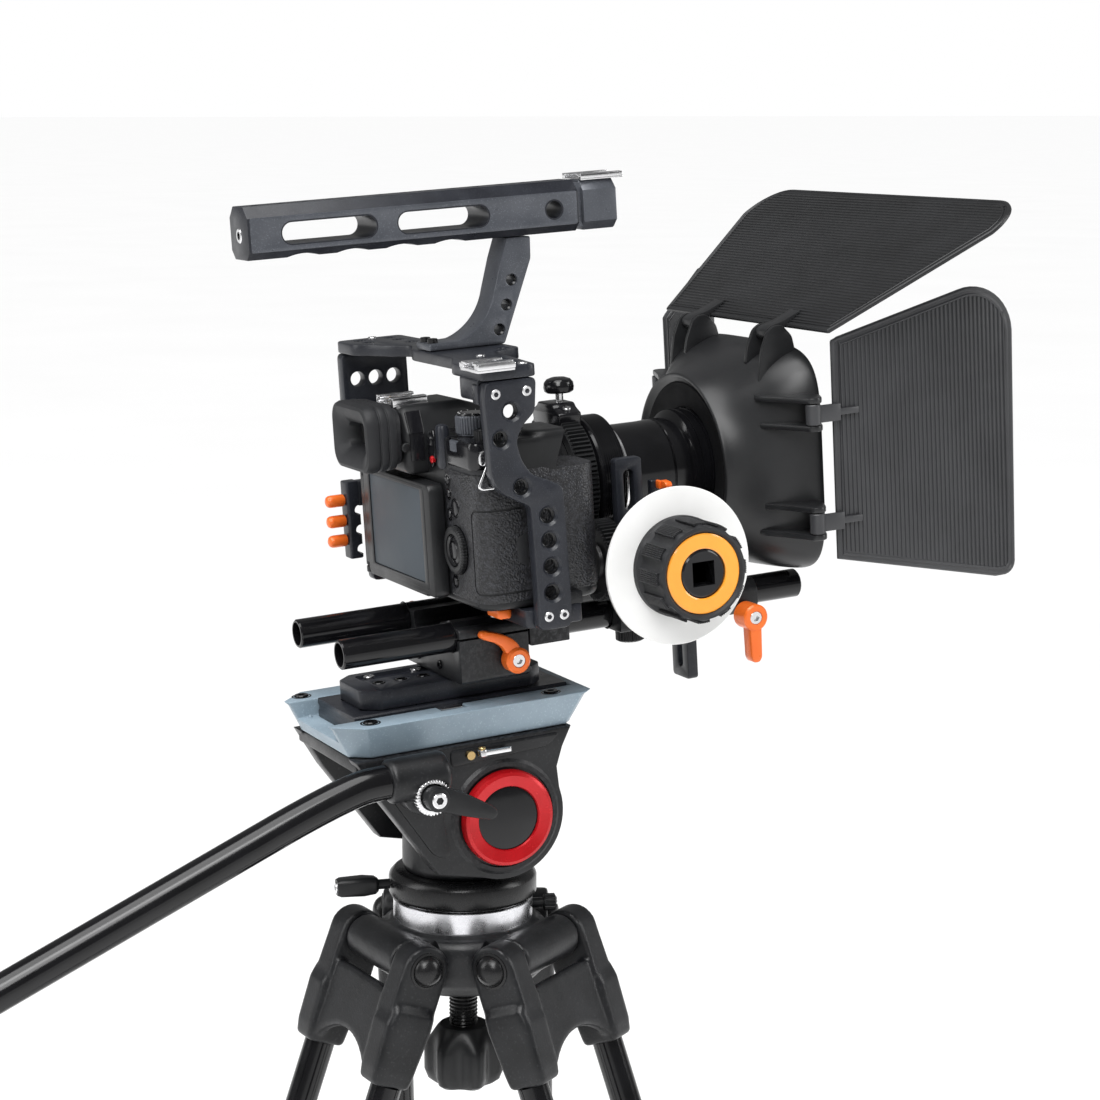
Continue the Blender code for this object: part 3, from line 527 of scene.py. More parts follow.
ANODISED = coated("slate_anodising", "black_aluminium", (0.010, 0.011, 0.015), (0.019, 0.021, 0.027),
                  (0.26, 0.38), grain=0.30, depth=0.020, specks=0.30, Specular_IOR_Level=0.34)
# A paler, bluer copy of the slate anodising: painted light, the blue-grey that the front light gives to side
# faces.
LIT_SLATE = coated("lit_slate_anodising", "black_aluminium", (0.058, 0.063, 0.074), (0.082, 0.088, 0.102),
               (0.26, 0.36), metal=0.30, grain=0.28, depth=0.010, specks=0.32)
GLOSS_BLACK = coated("black_anodising", "black_aluminium", (0.0030, 0.0030, 0.0035), (0.0055, 0.0055, 0.0065),
                     (0.12, 0.18), grain=0.4, depth=0.004, Specular_IOR_Level=0.36)
PAINT = coated("black_paint_smooth", "black_paint", (0.005, 0.005, 0.0055), (0.009, 0.009, 0.0095),
               (0.22, 0.32), grain=0.45, depth=0.015, specks=0.08, Specular_IOR_Level=0.32)
CAST = coated("black_paint_cast", "black_paint", (0.0055, 0.0058, 0.0065), (0.011, 0.0115, 0.013),
              (0.30, 0.42), grain=0.8, depth=0.09, specks=0.14, wear=(0.07, 0.07, 0.075),
              Specular_IOR_Level=0.32)
TRAY_PAINT = coated("blue_grey_paint", "grey_paint", (0.205, 0.270, 0.322), (0.245, 0.315, 0.370),
                    (0.34, 0.44), grain=0.6, depth=0.030, specks=0.14)
PLASTIC = coated("moulded_black_plastic", "black_plastic", (0.0065, 0.0068, 0.0075), (0.0115, 0.012, 0.013),
                 (0.32, 0.42), grain=0.40, depth=0.03, Specular_IOR_Level=0.32)
SHELL_PLASTIC = coated("satin_shell_plastic", "black_plastic", (0.010, 0.0103, 0.0112),
                       (0.016, 0.0164, 0.0176), (0.30, 0.38), blotch=40.0, grain=0.5, depth=0.018,
                       Specular_IOR_Level=0.38)
FLAG_PLASTIC = coated("ribbed_flag_plastic", "black_plastic", (0.027, 0.0275, 0.030), (0.038, 0.039, 0.042),
                      (0.32, 0.42), blotch=30.0, grain=0.5, depth=0.02)
# A darker copy of the flag plastic for the top flag: painted shade, as all the flags are one plastic.
SHADED_FLAG = coated("shaded_flag_plastic", "black_plastic", (0.011, 0.0113, 0.0122), (0.017, 0.0174, 0.019),
                   (0.34, 0.44), blotch=30.0, grain=0.5, depth=0.02, Specular_IOR_Level=0.36)
SHINY_PLASTIC = coated("polished_black_plastic", "black_plastic", (0.0045, 0.0045, 0.0055),
                       (0.008, 0.008, 0.0095), (0.12, 0.20), grain=1.2, depth=0.006, Specular_IOR_Level=0.40)
RUBBER = coated("matt_rubber", "rubber", (0.010, 0.0105, 0.012), (0.017, 0.0175, 0.0195), (0.48, 0.60),
                grain=0.35, depth=0.03, Specular_IOR_Level=0.36)
# Black foam rubber made darker and duller than the other rubber: partly the donut's own black, partly painted
# shade for the deep recess behind the matte box.
SHADED_FOAM_RUBBER = coated("foam_rubber_with_painted_shade", "rubber", (0.0035, 0.0035, 0.004), (0.006, 0.006, 0.0068),
                     (0.70, 0.85), grain=0.5, depth=0.03, Specular_IOR_Level=0.15)
ORANGE = coated("orange_anodising", "orange", (0.76, 0.125, 0.012), (0.86, 0.165, 0.020), (0.26, 0.36),
                metal=0.10, grain=0.5, depth=0.012)
AMBER = coated("amber_enamel", None, (0.86, 0.300, 0.020), (0.92, 0.350, 0.030), (0.14, 0.20), blotch=30.0,
               grain=2.5, depth=0.008, Coat_Weight=0.5, Coat_Roughness=0.08)
RED = coated("red_anodising", "red", (0.40, 0.004, 0.007), (0.52, 0.007, 0.012), (0.20, 0.30), metal=0.35,
             grain=0.5, depth=0.008)
WHITE = coated("white_marking_disc", None, (0.78, 0.78, 0.77), (0.84, 0.84, 0.83), (0.36, 0.46), blotch=30.0,
               grain=0.8, depth=0.008)
STEEL = brushed("bright_steel", "bright_metal", (0.80, 0.80, 0.81), (0.16, 0.28), (1, 1, 1),
                (0.86, 0.86, 0.86))
RING_STEEL = brushed("turned_steel", "bright_metal", (0.80, 0.80, 0.82), (0.22, 0.32), (0.06, 0.06, 3.0),
                     (0.84, 0.84, 0.86))
BRASS = brushed("brass", "bright_metal", (0.62, 0.44, 0.20), (0.25, 0.40))
LEATHER = leather()
SCREEN = screen_glass()
GLASS = lens_glass()


# Tripod -----------------------------------------------------------------------------------------
SPLAY = math.acos((leg_frame("a").to_3x3() @ Vector((0, 0, 1))).z)


def cast(mesh, voxel=1.1, rounds=4):
    """Blend shapes that meet into one casting with soft inner corners."""
    welded = modified(mesh, "REMESH", mode="VOXEL", voxel_size=voxel)
    return modified(welded, "SMOOTH", factor=0.5, iterations=rounds)


def shoulder():
    ring_low, ring_high = span("bowl_ring", STAND)
    low, high = span("tripod_shoulder", STAND)
    rim, top, bottom = ring_high.x, high.z, low.z
    belly = rim + 8.6
    bowl = lathe([(rim - 5, top), (rim + 1.6, top), (rim + 2.2, top - 1.6), (rim + 5.4, top - 2.6),
                  (belly - 0.8, top - 5.5), (belly, top - 9.5), (belly, bottom + 13),
                  (belly - 1.5, bottom + 8), (belly - 8, bottom + 1.5), (belly - 11, bottom), (12, bottom),
                  (12, bottom + 13), (24, top - 9)], sides=96)
    bosses, pockets = [], []
    for name in "abc":
        upright = STAND.inverted() @ leg_frame(name)
        upright = (Matrix.Translation(upright.translation / MM) @ upright.to_3x3().to_4x4()
                   @ turn(-math.degrees(SPLAY), "X"))
        boss = lathe([(0, -26.3), (10.6, -26.3), (11.4, -25.4), (11.4, 25.4), (10.6, 26.3), (0, 26.3)], "x",
                     sides=40)
        neck = box((-22, -9, -9), (22, 2, 10), 3)
        bosses += [moved(boss, upright), moved(neck, upright)]
        pockets += [moved(box((x, -13.6, -40), (x + 40, 40, 13.6), 0), upright) for x in (-66.8, 26.8)]
    body = cut(cast(join(bowl, *bosses), 1.2, 3), *pockets)
    piece("shoulder_casting", "tripod", CAST, body, place=STAND, stands_for="tripod_shoulder")
    piece("bowl_rim", "tripod", RING_STEEL,
          lathe([(rim - 2.8, ring_high.z), (rim - 0.5, ring_high.z), (rim, ring_high.z - 0.5),
                 (rim, ring_low.z + 0.6), (rim - 0.6, ring_low.z), (rim - 2.8, ring_low.z)], sides=96),
          place=STAND, stands_for="bowl_ring")
    post_low, post_high = span("ball_post", STAND)
    ball = post_high.x
    cup = [(ball * math.cos(a), post_high.z - ball * math.sin(a))
           for a in (math.radians(2 + 8 * i) for i in range(10))]
    thread = [(7.5 if i % 2 else 7.0, post_high.z - 34 - i * 1.0) for i in range(62)]
    piece("ball_and_post", "tripod", PAINT,
          lathe([(0, post_high.z)] + cup + thread + [(6.5, post_low.z), (0, post_low.z)], sides=64),
          place=STAND, stands_for="ball_post")
    knob_low, knob_high = span("clamp_knob", STAND)
    top, bottom, r = knob_high.z, knob_low.z, knob_high.x
    piece("bowl_clamp_grip", "bowl_clamp", PLASTIC,
          lathe([(0, top), (12.5, top), (14, top - 1.5), (17, top - 6, 1), (r - 1, top - 10, 3.5),
                 (r, top - 13, 4.6), (r, bottom + 7, 4.6), (r - 2, bottom + 2, 4), (r - 5, bottom, 2.5),
                 (0, bottom)], sides=96, shape=lobes(6)), place=STAND, stands_for="clamp_knob")
    side = Vector((math.cos(math.radians(72)), math.sin(math.radians(72)), 0))
    screw_at = side * rim + Vector((0, 0, (ring_low.z + ring_high.z) * 0.5))
    piece("bowl_side_screw", "tripod", PLASTIC, knurled(screw_at + side * 6, side, 4.6, 6.5, 18, 0.4),
          rod(screw_at, side, 2.6, 8, 20), place=STAND)
    piece("bowl_side_screw_end", "tripod", STEEL, disc(screw_at + side * 12.5, side, 2.8, 0.7, 0.3, 24),
          place=STAND)


def flattened(mesh, place):
    """Press a foot flat where it would go through the floor."""
    back = place.inverted()
    for vert in mesh.vertices:
        world = place @ (vert.co * MM)
        if world.z < 0:
            world.z = 0.0
            vert.co = back @ world / MM
    return mesh


def leg(name):
    place = leg_frame(name)
    low, high = span("leg_yoke_" + name, place)
    half, bottom, ear = high.x, low.z, 12.5
    shapes = []
    for sign in (-1, 1):
        upper = plate(arc((0, 0), ear, 0, 180, 12) + [(-ear, -26), (ear + 0.5, -26)], "x", 27.6, half - 3.5,
                      edge=1.5)
        boot = loft([[(x, y, z) for x, y in rounded((x0, y0), (x1, y1), 3.5, 4)] for z, x0, x1, y0, y1 in
                     ((-19.0, 30.0, half - 3.0, -10.5, 11.5), (-23.0, 28.5, half - 0.5, -12.0, 12.6),
                      (-30.0, 27.6, half, -12.0, 14.0), (bottom + 8, 28.0, half, -10.0, 13.2),
                      (bottom + 1.5, 28.4, half - 0.6, -9.6, 12.2), (bottom, 29.4, half - 1.6, -8.6, 11.2))])
        shapes += [upper, boot] if sign > 0 else [moved(upper, MIRROR_X), moved(boot, MIRROR_X)]
    arch = arc((0, bottom - 22), 38.0, 142, 38, 14)
    web = plate([(-34, -17), (-34, bottom + 3)] + arch + [(34, bottom + 3), (34, -17), (20, -15), (-20, -15)],
                "y", 5.0, 11.0, edge=1.8)
    piece("yoke_casting_" + name, "leg_" + name, CAST, cast(join(*shapes, web), 1.15, 3),
          place=place, stands_for="leg_yoke_" + name)
    pins = [dome((sign * (half - 3.8), 0, 0), "x" if sign > 0 else "-x", 8.0, 6.2) for sign in (-1, 1)]
    seats = [lathe([(9.4, 0.8), (8.2, 1.0), (8.2, 0), (9.4, 0)], "x" if sign > 0 else "-x",
                   (sign * (half - 3.8), 0, 0)) for sign in (-1, 1)]
    piece("hinge_caps_" + name, "leg_" + name, PAINT, *pins, *seats, place=place)

    low, high = span("leg_tubes_" + name, place)
    centre, outer, inner = high.x - 13.0, 8.0, 6.8
    tubes = [lathe([(inner, high.z), (outer, high.z), (outer, low.z + 34), (inner, low.z + 34)], "z",
                   (x, 0, 0), 40) for x in (-centre, centre)]
    sleeve = [lathe([(inner, low.z + 44), (outer + 1.6, low.z + 42), (outer + 2, low.z + 30),
                     (inner, low.z + 30)], "z", (x, 0, 0), 40) for x in (-centre, centre)]
    piece("upper_tubes_" + name, "leg_" + name, GLOSS_BLACK, *tubes, place=place)
    collar = plate(rounded((low.x, low.y), (high.x, high.y), 12.0), "z", low.z, low.z + 36,
                   [circle(x, 0, inner + 0.2, 32) for x in (-centre, centre)]
                   + [rounded((-centre + 18, low.y + 6), (centre - 18, high.y - 6), 5)], edge=1.6)
    piece("leg_collar_" + name, "leg_" + name, CAST, collar, *sleeve, place=place,
          stands_for="leg_tubes_" + name)
    bolts = [screw((x, high.y - 0.3, low.z + 18), "y", 3.6, 2.2) for x in (-centre, centre)]
    piece("collar_bolts_" + name, "leg_" + name, STEEL, *bolts, place=place)

    low, high = span("lower_leg_" + name, place)
    foot_radius, foot_z = 16.0, low.z + 16.0
    base_top, base_bottom = foot_z + 42.0, foot_z + 14.0
    inner_tubes = [lathe([(0, high.z), (5.6, high.z), (6.3, high.z - 0.8), (6.3, base_top - 8),
                          (0, base_top - 8)], "z", (x, 0, 0), 36) for x in (-centre, centre)]
    piece("inner_tubes_" + name, "foot_" + name, GLOSS_BLACK, *inner_tubes, place=place)
    base = plate(rounded((-centre - 12, -11), (centre + 12, 11), 10.0), "z", base_bottom, base_top,
                 [rounded((-centre + 16, -5), (-16, 5), 4), rounded((16, -5), (centre - 16, 5), 4)], edge=1.6)
    neck = lathe([(0, 20), (15, 18), (13, 12), (11, 4), (11, 0), (0, 0)], "z", (0, 0, foot_z + 2), 40)
    piece("leg_base_" + name, "foot_" + name, CAST, base, neck, place=place, stands_for="lower_leg_" + name)
    grooves = [(foot_radius * math.cos(a) - (0.7 if i % 2 and i < 16 else 0.0), foot_radius * math.sin(a))
               for i, a in ((i, math.radians(-84 + 7.4 * i)) for i in range(20))]
    ball = lathe([(0, -foot_radius)] + grooves + [(0, foot_radius * 0.86)], "z", (0, 0, foot_z), 48)
    piece("rubber_foot_" + name, "foot_" + name, RUBBER, flattened(ball, place), place=place)


# Fluid head -------------------------------------------------------------------------------------
def head():
    low, high = span("pan_base", STAND)
    r, top, bottom = high.x, high.z, low.z
    piece("pan_housing", "tripod", PAINT,
          lathe([(0, top), (r - 3.5, top), (r - 2.6, top - 0.5), (r - 0.5, top - 2.8), (r, top - 4.2),
                 (r, bottom + 2.6), (r - 0.8, bottom + 1.0), (r - 2.2, bottom), (0, bottom)], sides=96),
          place=STAND, stands_for="pan_base")

    axis = STAND.inverted() @ basis(joint_point("pan_lock_turn"), JOINTS["pan_lock_turn"]["axis"],
                                    Vector((0, 0, 1)).cross(Vector(JOINTS["pan_lock_turn"]["axis"])))
    lock = STAND @ axis
    low, high = span("pan_lock_lever", lock)
    stalk = rod((low.x, 0, 0), "x", 2.6, 8.5, 24)
    grip = loft([[(x, y, z) for y, z in rounded((-w, -h), (w, h), 2.4, 4)]
                 for x, w, h in ((low.x + 6.4, 3.6, 3.4), (low.x + 8.0, 4.8, 4.3), (low.x + 14, 5.4, 4.9),
                                 (high.x - 2, 5.0, 4.6), (high.x, 4.2, 3.9))])
    piece("pan_lock_grip", "pan_lock", PLASTIC, stalk, grip, place=lock, stands_for="pan_lock_lever")
    piece("pan_lock_cap", "pan_lock", STEEL, screw((high.x - 0.3, 0, 0), "x", 3.1, 1.0), place=lock)

    low, high = span("head_core", STAND)
    tilt = joint_spot("tilt", STAND)
    neck = lathe([(0, -3), (28, -3), (30.2, -6), (31.2, -14), (31.5, -24), (31.5, low.z + 3), (30.6, low.z),
                  (0, low.z)], sides=72)
    drum = lathe([(0, -32.3), (23.5, -32.3), (25, -31), (25, 31), (23.5, 32.3), (0, 32.3)], "x", tilt, 64)
    piece("drag_housing", "head", CAST, cast(join(neck, drum), 1.1, 3), place=STAND, stands_for="head_core")
    piece("tilt_trunnions", "head", STEEL,
          lathe([(0, low.x), (7.4, low.x), (8, low.x + 0.6), (8, high.x - 0.6), (7.4, high.x), (0, high.x)],
                "x", tilt), place=STAND)


def cradle():
    low, high = span("tilt_cradle")
    out, top = high.x, high.z
    sides = []
    outline = [(40.0, top), (34.5, 31.0), (30.8, 21.0), (31.5, 10.0)] + arc((0, 0), 33.0, 8, -112, 22) \
        + [(-38.0, -24.0), (-52.5, -2.0), (-67.0, 20.0), (-78.0, top)]
    bore = circle(0, 0, 8.6, 32)
    web = [(-70, 36), (-60, 18), (-40, -14), (-31, -16), (-34, 6), (-30, 22), (-30, 36)]
    for sign in (-1, 1):
        cheek = plate(outline, "x", out - 12.6, out - 0.8, [bore], edge=1.4)
        boss = lathe([(26.2, 0.8), (28.4, 0.8), (30.6, -0.8), (30.6, -4), (26.2, -4)], "x", (out - 0.4, 0, 0),
                     64)
        rear = plate(filleted(web, 5), "x", out - 5, out + 0.5, edge=0.9)
        brow = plate(filleted([(-28, 30.5), (26, 33.0), (33, top - 2), (-28, top - 2)], 3), "x", out - 5,
                     out + 0.3, edge=0.8)
        sides += [moved(m, MIRROR_X) if sign < 0 else m for m in (cheek, boss, rear, brow)]
    deck = box((low.x + 5, low.y + 1.4, 33.8), (high.x - 5, high.y - 1.0, 40.6), 1.0)
    piece("cradle_casting", "cradle", CAST, *sides, deck, stands_for="tilt_cradle")
    ribs = [box((x - 1.6, -60, 30.5), (x + 1.6, 34, 34.2), 0.8) for x in (-24, -8, 8, 24)]
    piece("deck_ribs", "cradle", CAST, *ribs)
    left_cap = lathe([(0, 2.6), (21, 2.6), (23.2, 1.8), (24, 0), (0, 0)], "-x", (-out - 0.2, 0, 0), 64)
    piece("left_tilt_cover", "cradle", PLASTIC, left_cap)

    low, high = span("tilt_ring")
    r, wide = high.y, high.x - low.x
    piece("red_ring", "cradle", RED,
          lathe([(r * 0.66, wide * 0.55), (r * 0.68, wide * 0.72), (r * 0.90, wide), (r * 0.965, wide * 0.86),
                 (r, wide * 0.5), (r, 0), (r * 0.66, 0)], "x", (low.x, 0, 0), 96), stands_for="tilt_ring")
    piece("ring_centre", "cradle", GLOSS_BLACK,
          lathe([(0, wide * 0.62), (r * 0.60, wide * 0.60), (r * 0.655, wide * 0.50), (r * 0.655, 0), (0, 0)],
                "x", (low.x, 0, 0), 64))

    pin = joint_spot("plate_lock_turn")
    low, high = span("plate_lever")
    blade = plate(filleted([(pin.x - 2.4, pin.y), (pin.x + 2.4, pin.y), (high.x, high.y),
                            (high.x - 3.6, high.y)], 0.8), "z", low.z + 0.4, high.z - 0.6, edge=0.4)
    hub = disc((pin.x, pin.y, low.z), "z", 2.7, high.z - low.z, 0.4, 24)
    piece("plate_lock_blade", "plate_lock", STEEL, blade, hub, stands_for="plate_lever")
    piece("plate_lock_screw", "cradle", BRASS, screw((pin.x - 0.2, pin.y, high.z + 0.1), "z", 1.9, 1.0),
          rod((out - 1, pin.y - 6, low.z + 1), "x", 2.2, 4, 20))


def tray():
    low, high = span("plate_tray")
    foot_x, foot_front, foot_rear = 42.0, 42.0, low.y + 8.5

    def ring(x, rear, front, chamfer, z):
        return [(-x, rear + chamfer, z), (-x + chamfer, rear, z), (x - chamfer, rear, z),
                (x, rear + chamfer, z), (x, front - 4, z), (x - 4, front, z), (-x + 4, front, z),
                (-x, front - 4, z)]

    body = loft([ring(foot_x, foot_rear, foot_front, 9, low.z),
                 ring(foot_x + 0.6, foot_rear - 0.6, foot_front + 1, 9, low.z + 2.2),
                 ring(high.x - 1.2, low.y + 2.2, high.y - 3, 13, high.z - 2.0),
                 ring(high.x, low.y, high.y, 14, high.z)])
    channel = box((-29, low.y - 20, 48.8), (29, high.y - 4.5, high.z + 12), 0)
    notch = box((24, -27, high.z - 3.0), (37, -13, high.z + 6), 0)
    body = soften(cut(body, channel, notch), 0.9, 3)
    piece("tray_casting", "cradle", TRAY_PAINT, body, stands_for="plate_tray")
    piece("level_window", "cradle", STEEL, box((25.5, -26, high.z - 4.2), (33.5, -14, high.z - 0.4), 0.5))
    spots = [(37.5, low.y + 20), (37.5, high.y - 20), (-37.5, low.y + 11.5), (-37.5, high.y - 20)]
    piece("tray_screws", "cradle", GLOSS_BLACK,
          *(lathe([(0, 0.2), (2.0, 0.2, 2.0), (2.0, 1.0, 2.0), (3.4, 1.0), (3.8, 0.5), (3.8, -2), (0, -2)],
                  "z", (x, y, high.z), 24, hexagon) for x, y in spots),
          *(lathe([(5.2, 0.12), (4.3, 0.12), (4.3, -1), (5.2, -1)], "z", (x, y, high.z), 32)
            for x, y in spots))
    stops = [dome((x, low.y + 12, 48.8), "z", 1.2, 1.4) for x in (-27.6, 27.6)]
    piece("plate_stops", "cradle", TRAY_PAINT, *stops)


def handle():
    low, high = span("handle_socket")
    pivot = joint_spot("handle_swing")
    x, z, r = 59.0, 33.0, 11.2
    socket = lathe([(0, high.y), (r - 2.5, high.y), (r - 0.8, high.y - 0.8), (r, high.y - 2.8),
                    (r, low.y + 2), (r - 0.6, low.y + 0.8), (r - 1.6, low.y), (0, low.y)], "y", (x, 0, z), 56)
    knuckle = lathe([(0, 15.4), (9.6, 15.4), (11.4, 14.2), (11.5, 2), (11.0, 0), (0, 0)], "x",
                    (low.x, pivot.y, pivot.z), 48)
    seat = rod((62.0, pivot.y, pivot.z), "x", 6.9, 20, 40)
    piece("handle_joint", "handle", CAST, cut(cast(join(socket, knuckle), 0.8, 2), seat),
          stands_for="handle_socket")
    rosette = knurled((67.2, pivot.y, pivot.z), "x", 9.3, 3.2, 32, 0.7, 0.4)
    piece("rosette_teeth", "handle", STEEL, cut(rosette, rod((57.0, pivot.y, pivot.z), "x", 6.9, 25, 40)))

    fall = math.tan(math.radians(20.3))
    bend = [(x, low.y + 2, z), (x, low.y - 4, z), (x, low.y - 13, z - 0.6), (x, low.y - 25, z - 3.6),
            (x, low.y - 38, z - 7.6), (x, low.y - 52, z - 12.4), (x, low.y - 70, z - 12.4 - 18 * fall)]
    end = span("pan_handle")[0].y
    grip_start = end + 122
    last = bend[-1]

    def along(y):
        return (x, y, last[2] + (y - last[1]) * fall)

    piece("handle_bar", "handle", GLOSS_BLACK,
          pipe(flowing(bend, 6) + [along(low.y - 120), along(grip_start)], 8.6, resolution=8),
          stands_for="pan_handle")
    direction = Vector(along(end)) - Vector(along(grip_start))
    length, steps = direction.length - 3, 24
    ridges = []
    for i in range(steps + 1):
        r = 12.6 + 0.9 * math.sin(math.pi * i / steps)
        h = 4 + (length - 8) * i / steps
        ridges += [(r - 0.7, h - 0.9), (r, h - 0.3), (r, h + 1.6), (r - 0.7, h + 2.2)]
    sleeve = [(0, 0), (10.6, 0), (11.8, 1.2)] + ridges + [(11.5, length), (9, length + 2), (0, length + 2.4)]
    piece("handle_grip", "handle", RUBBER, lathe(sleeve, direction.normalized(), along(grip_start), 56))

    low, high = span("handle_lever")
    pivot = joint_spot("handle_clamp_turn")
    hub = disc((low.x, pivot.y, pivot.z), "x", 6.0, high.x - low.x - 0.4, 1.0, 40)
    wing_line = [(-5.4, -1), (-4.6, 4.2), (3.6, 6.0), (14, 1.4), (30, -8.8), (32, -12.2), (29.2, -15.3),
                 (22, -13.6), (10, -9.6), (-1, -5.6)]
    wing = plate(filleted([(pivot.y + a, pivot.z + b) for a, b in wing_line], 2.4, 3), "x", high.x - 6.0,
                 high.x - 1.6, edge=1.3)
    piece("handle_clamp_wing", "handle_clamp", PLASTIC, hub, wing, stands_for="handle_lever")
    piece("handle_clamp_cap", "handle_clamp", STEEL, screw((high.x - 0.6, pivot.y, pivot.z), "x", 3.9, 0.9))


# Plate, rods and rod clamp ----------------------------------------------------------------------
ROD_X, ROD_R, BORE_R = 30.0, 7.5, 7.62
ROD_Z = (span("rod_right")[0].z + span("rod_right")[1].z) * 0.5


def rod_bores():
    return [circle(x, ROD_Z, BORE_R, 40) for x in (-ROD_X, ROD_X)]


def rods():
    for side, sign in (("right", 1), ("left", -1)):
        low, high = span("rod_" + side)
        length = high.y - low.y
        tube = lathe([(6.0, 0), (ROD_R - 0.7, 0), (ROD_R, 0.7), (ROD_R, length - 0.7), (ROD_R - 0.7, length),
                      (6.0, length), (6.0, length - 14), (6.0, 14)], "y", (sign * ROD_X, low.y, ROD_Z), 56)
        piece("support_tube_" + side, "rig", GLOSS_BLACK, tube, stands_for="rod_" + side)


def slide_and_riser():
    low, high = span("slide_plate")
    y0, y1 = low.y, high.y
    profile = [(-26, low.z), (26, low.z), (26, low.z + 3.2), (24.4, low.z + 4.2), (24.4, low.z + 5.8),
               (26, low.z + 6.8), (26, high.z - 0.8), (25.2, high.z), (-25.2, high.z), (-26, high.z - 0.8),
               (-26, low.z + 6.8), (-24.4, low.z + 5.8), (-24.4, low.z + 4.2), (-26, low.z + 3.2)]
    slab = plate(profile, "y", y0, y1, edge=0.35)
    slots = [plate(rounded((x - 3.2, y0 + 8), (x + 3.2, y0 + 22), 3.1), "z", high.z - 4, high.z + 3, edge=0.1)
             for x in (-13, 13)]
    piece("sliding_plate", "rig", ANODISED, cut(slab, *slots), stands_for="slide_plate")

    low, high = span("riser_block")
    x, y0, y1 = high.x, low.y, high.y
    corner = [(-x, y0 + 8), (-x + 8, y0), (x - 8, y0), (x, y0 + 8), (x, y1 - 7.5), (x - 7, y1), (-x + 7, y1),
              (-x, y1 - 7.5)]
    holes = [(4.0, y, 3.3) for y in (-47.2, -35.1, -22.6)]
    block = plate(filleted(corner, 1.6, 3), "z", low.z, high.z - 0.3,
                  [circle(a, b, r, 28) for a, b, r in holes], edge=0.7)
    pocket = plate(rounded((-x + 5.5, y0 + 9), (-4.0, y0 + 50), 3), "z", high.z - 2.4, high.z + 4, edge=0.1)
    piece("riser", "rig", ANODISED, cut(block, pocket), stands_for="riser_block")
    bushes = [lathe([(2.3, high.z - 0.1), (2.9, high.z - 0.1), (3.3, high.z - 0.5), (3.3, low.z + 6),
                     (2.3, low.z + 6)], "z", (a, b, 0), 28) for a, b, _ in holes]
    piece("riser_bushes", "rig", GLOSS_BLACK, *bushes)
    heads = [screw((a, b, high.z - 2.6), "z", 3.0, 2.4) for a, b in ((-12.5, y0 + 16), (-12.5, y0 + 42))]
    piece("riser_screws", "rig", STEEL, *heads)


def rod_clamp():
    low, high = span("rod_clamp")
    outline = filleted([(low.x, low.z), (low.x, high.z), (high.x, high.z), (high.x, low.z)], 3.0)
    block = plate(outline, "y", low.y, high.y, rod_bores(), edge=0.8)
    waist = plate(filleted([(-17, high.z - 9), (17, high.z - 9), (17, high.z + 4), (-17, high.z + 4)], 4),
                  "y", low.y - 3, high.y + 3, edge=0.1)
    split = box((ROD_X + 4, low.y - 2, ROD_Z - 0.6), (high.x + 3, high.y + 2, ROD_Z + 0.6), 0)
    block = cut(block, waist, split, moved(split, MIRROR_X))
    piece("rod_clamp_block", "rig", CAST, block, stands_for="rod_clamp")
    piece("rod_clamp_screws", "rig", GLOSS_BLACK,
          *(screw((x, low.y + 0.3, z), "-y", 2.3, 1.4) for x, z in ((-14, low.z + 6), (14, low.z + 6))))
    for side, sign in (("right", 1), ("left", -1)):
        node = "rod_lever_" + side
        low, high = span(node)
        hub = joint_spot("rod_clamp_%s_turn" % side)
        inner, outer = (low.x, high.x) if sign > 0 else (-high.x, -low.x)
        ring = lathe([(3.6, outer - inner), (5.4, outer - inner), (6.6, outer - inner - 1.2), (6.6, 1.0),
                      (5.8, 0), (3.6, 0)], "x", (inner, hub.y, hub.z), 48)
        tail = [(13.5, 86.0), (10.5, 90.3), (5.5, 93.6), (-1.5, 96.0), (-6.0, 97.3), (-8.2, 96.4),
                (-8.4, 94.0), (-6.0, 92.6), (-0.5, 90.4), (3.2, 87.8), (5.0, 84.0), (8, 83)]
        blade = plate(filleted([(hub.y - 11 + a, hub.z - 80 + b) for a, b in tail], 2.2, 3), "x", inner + 1.6,
                      outer - 1.6, edge=1.3)
        shapes = [ring, blade]
        head = screw((outer - 2.2, hub.y, hub.z), "x", 3.7, 1.9)
        if sign < 0:
            shapes, head = [moved(m, MIRROR_X) for m in shapes], moved(head, MIRROR_X)
        piece("rod_lever_blade_" + side, "rod_clamp_lever_" + side, ORANGE, *shapes, stands_for=node)
        piece("rod_lever_screw_" + side, "rod_clamp_lever_" + side, STEEL, head)


# Cage -------------------------------------------------------------------------------------------
def shoe(x, depth, z, levels, half, rail, lip, edges):
    """A cold shoe: a floor of half width, two rails and the lips over its slot.  The levels above z are
    the floor's bottom and top, the rails' top, and the lips' bottom and top."""
    y0, y1 = depth
    floor_low, floor_top, rail_top, lip_low, lip_top = levels
    shapes = [box((x - half, y0, z + floor_low), (x + half, y1, z + floor_top), edges[0])]
    for (inner, outer), low, high, edge in ((rail, 0, rail_top, edges[1]), (lip, lip_low, lip_top, edges[2])):
        shapes += [box((x + inner, y0, z + low), (x + outer, y1, z + high), edge),
                   box((x - outer, y0, z + low), (x - inner, y1, z + high), edge)]
    return shapes


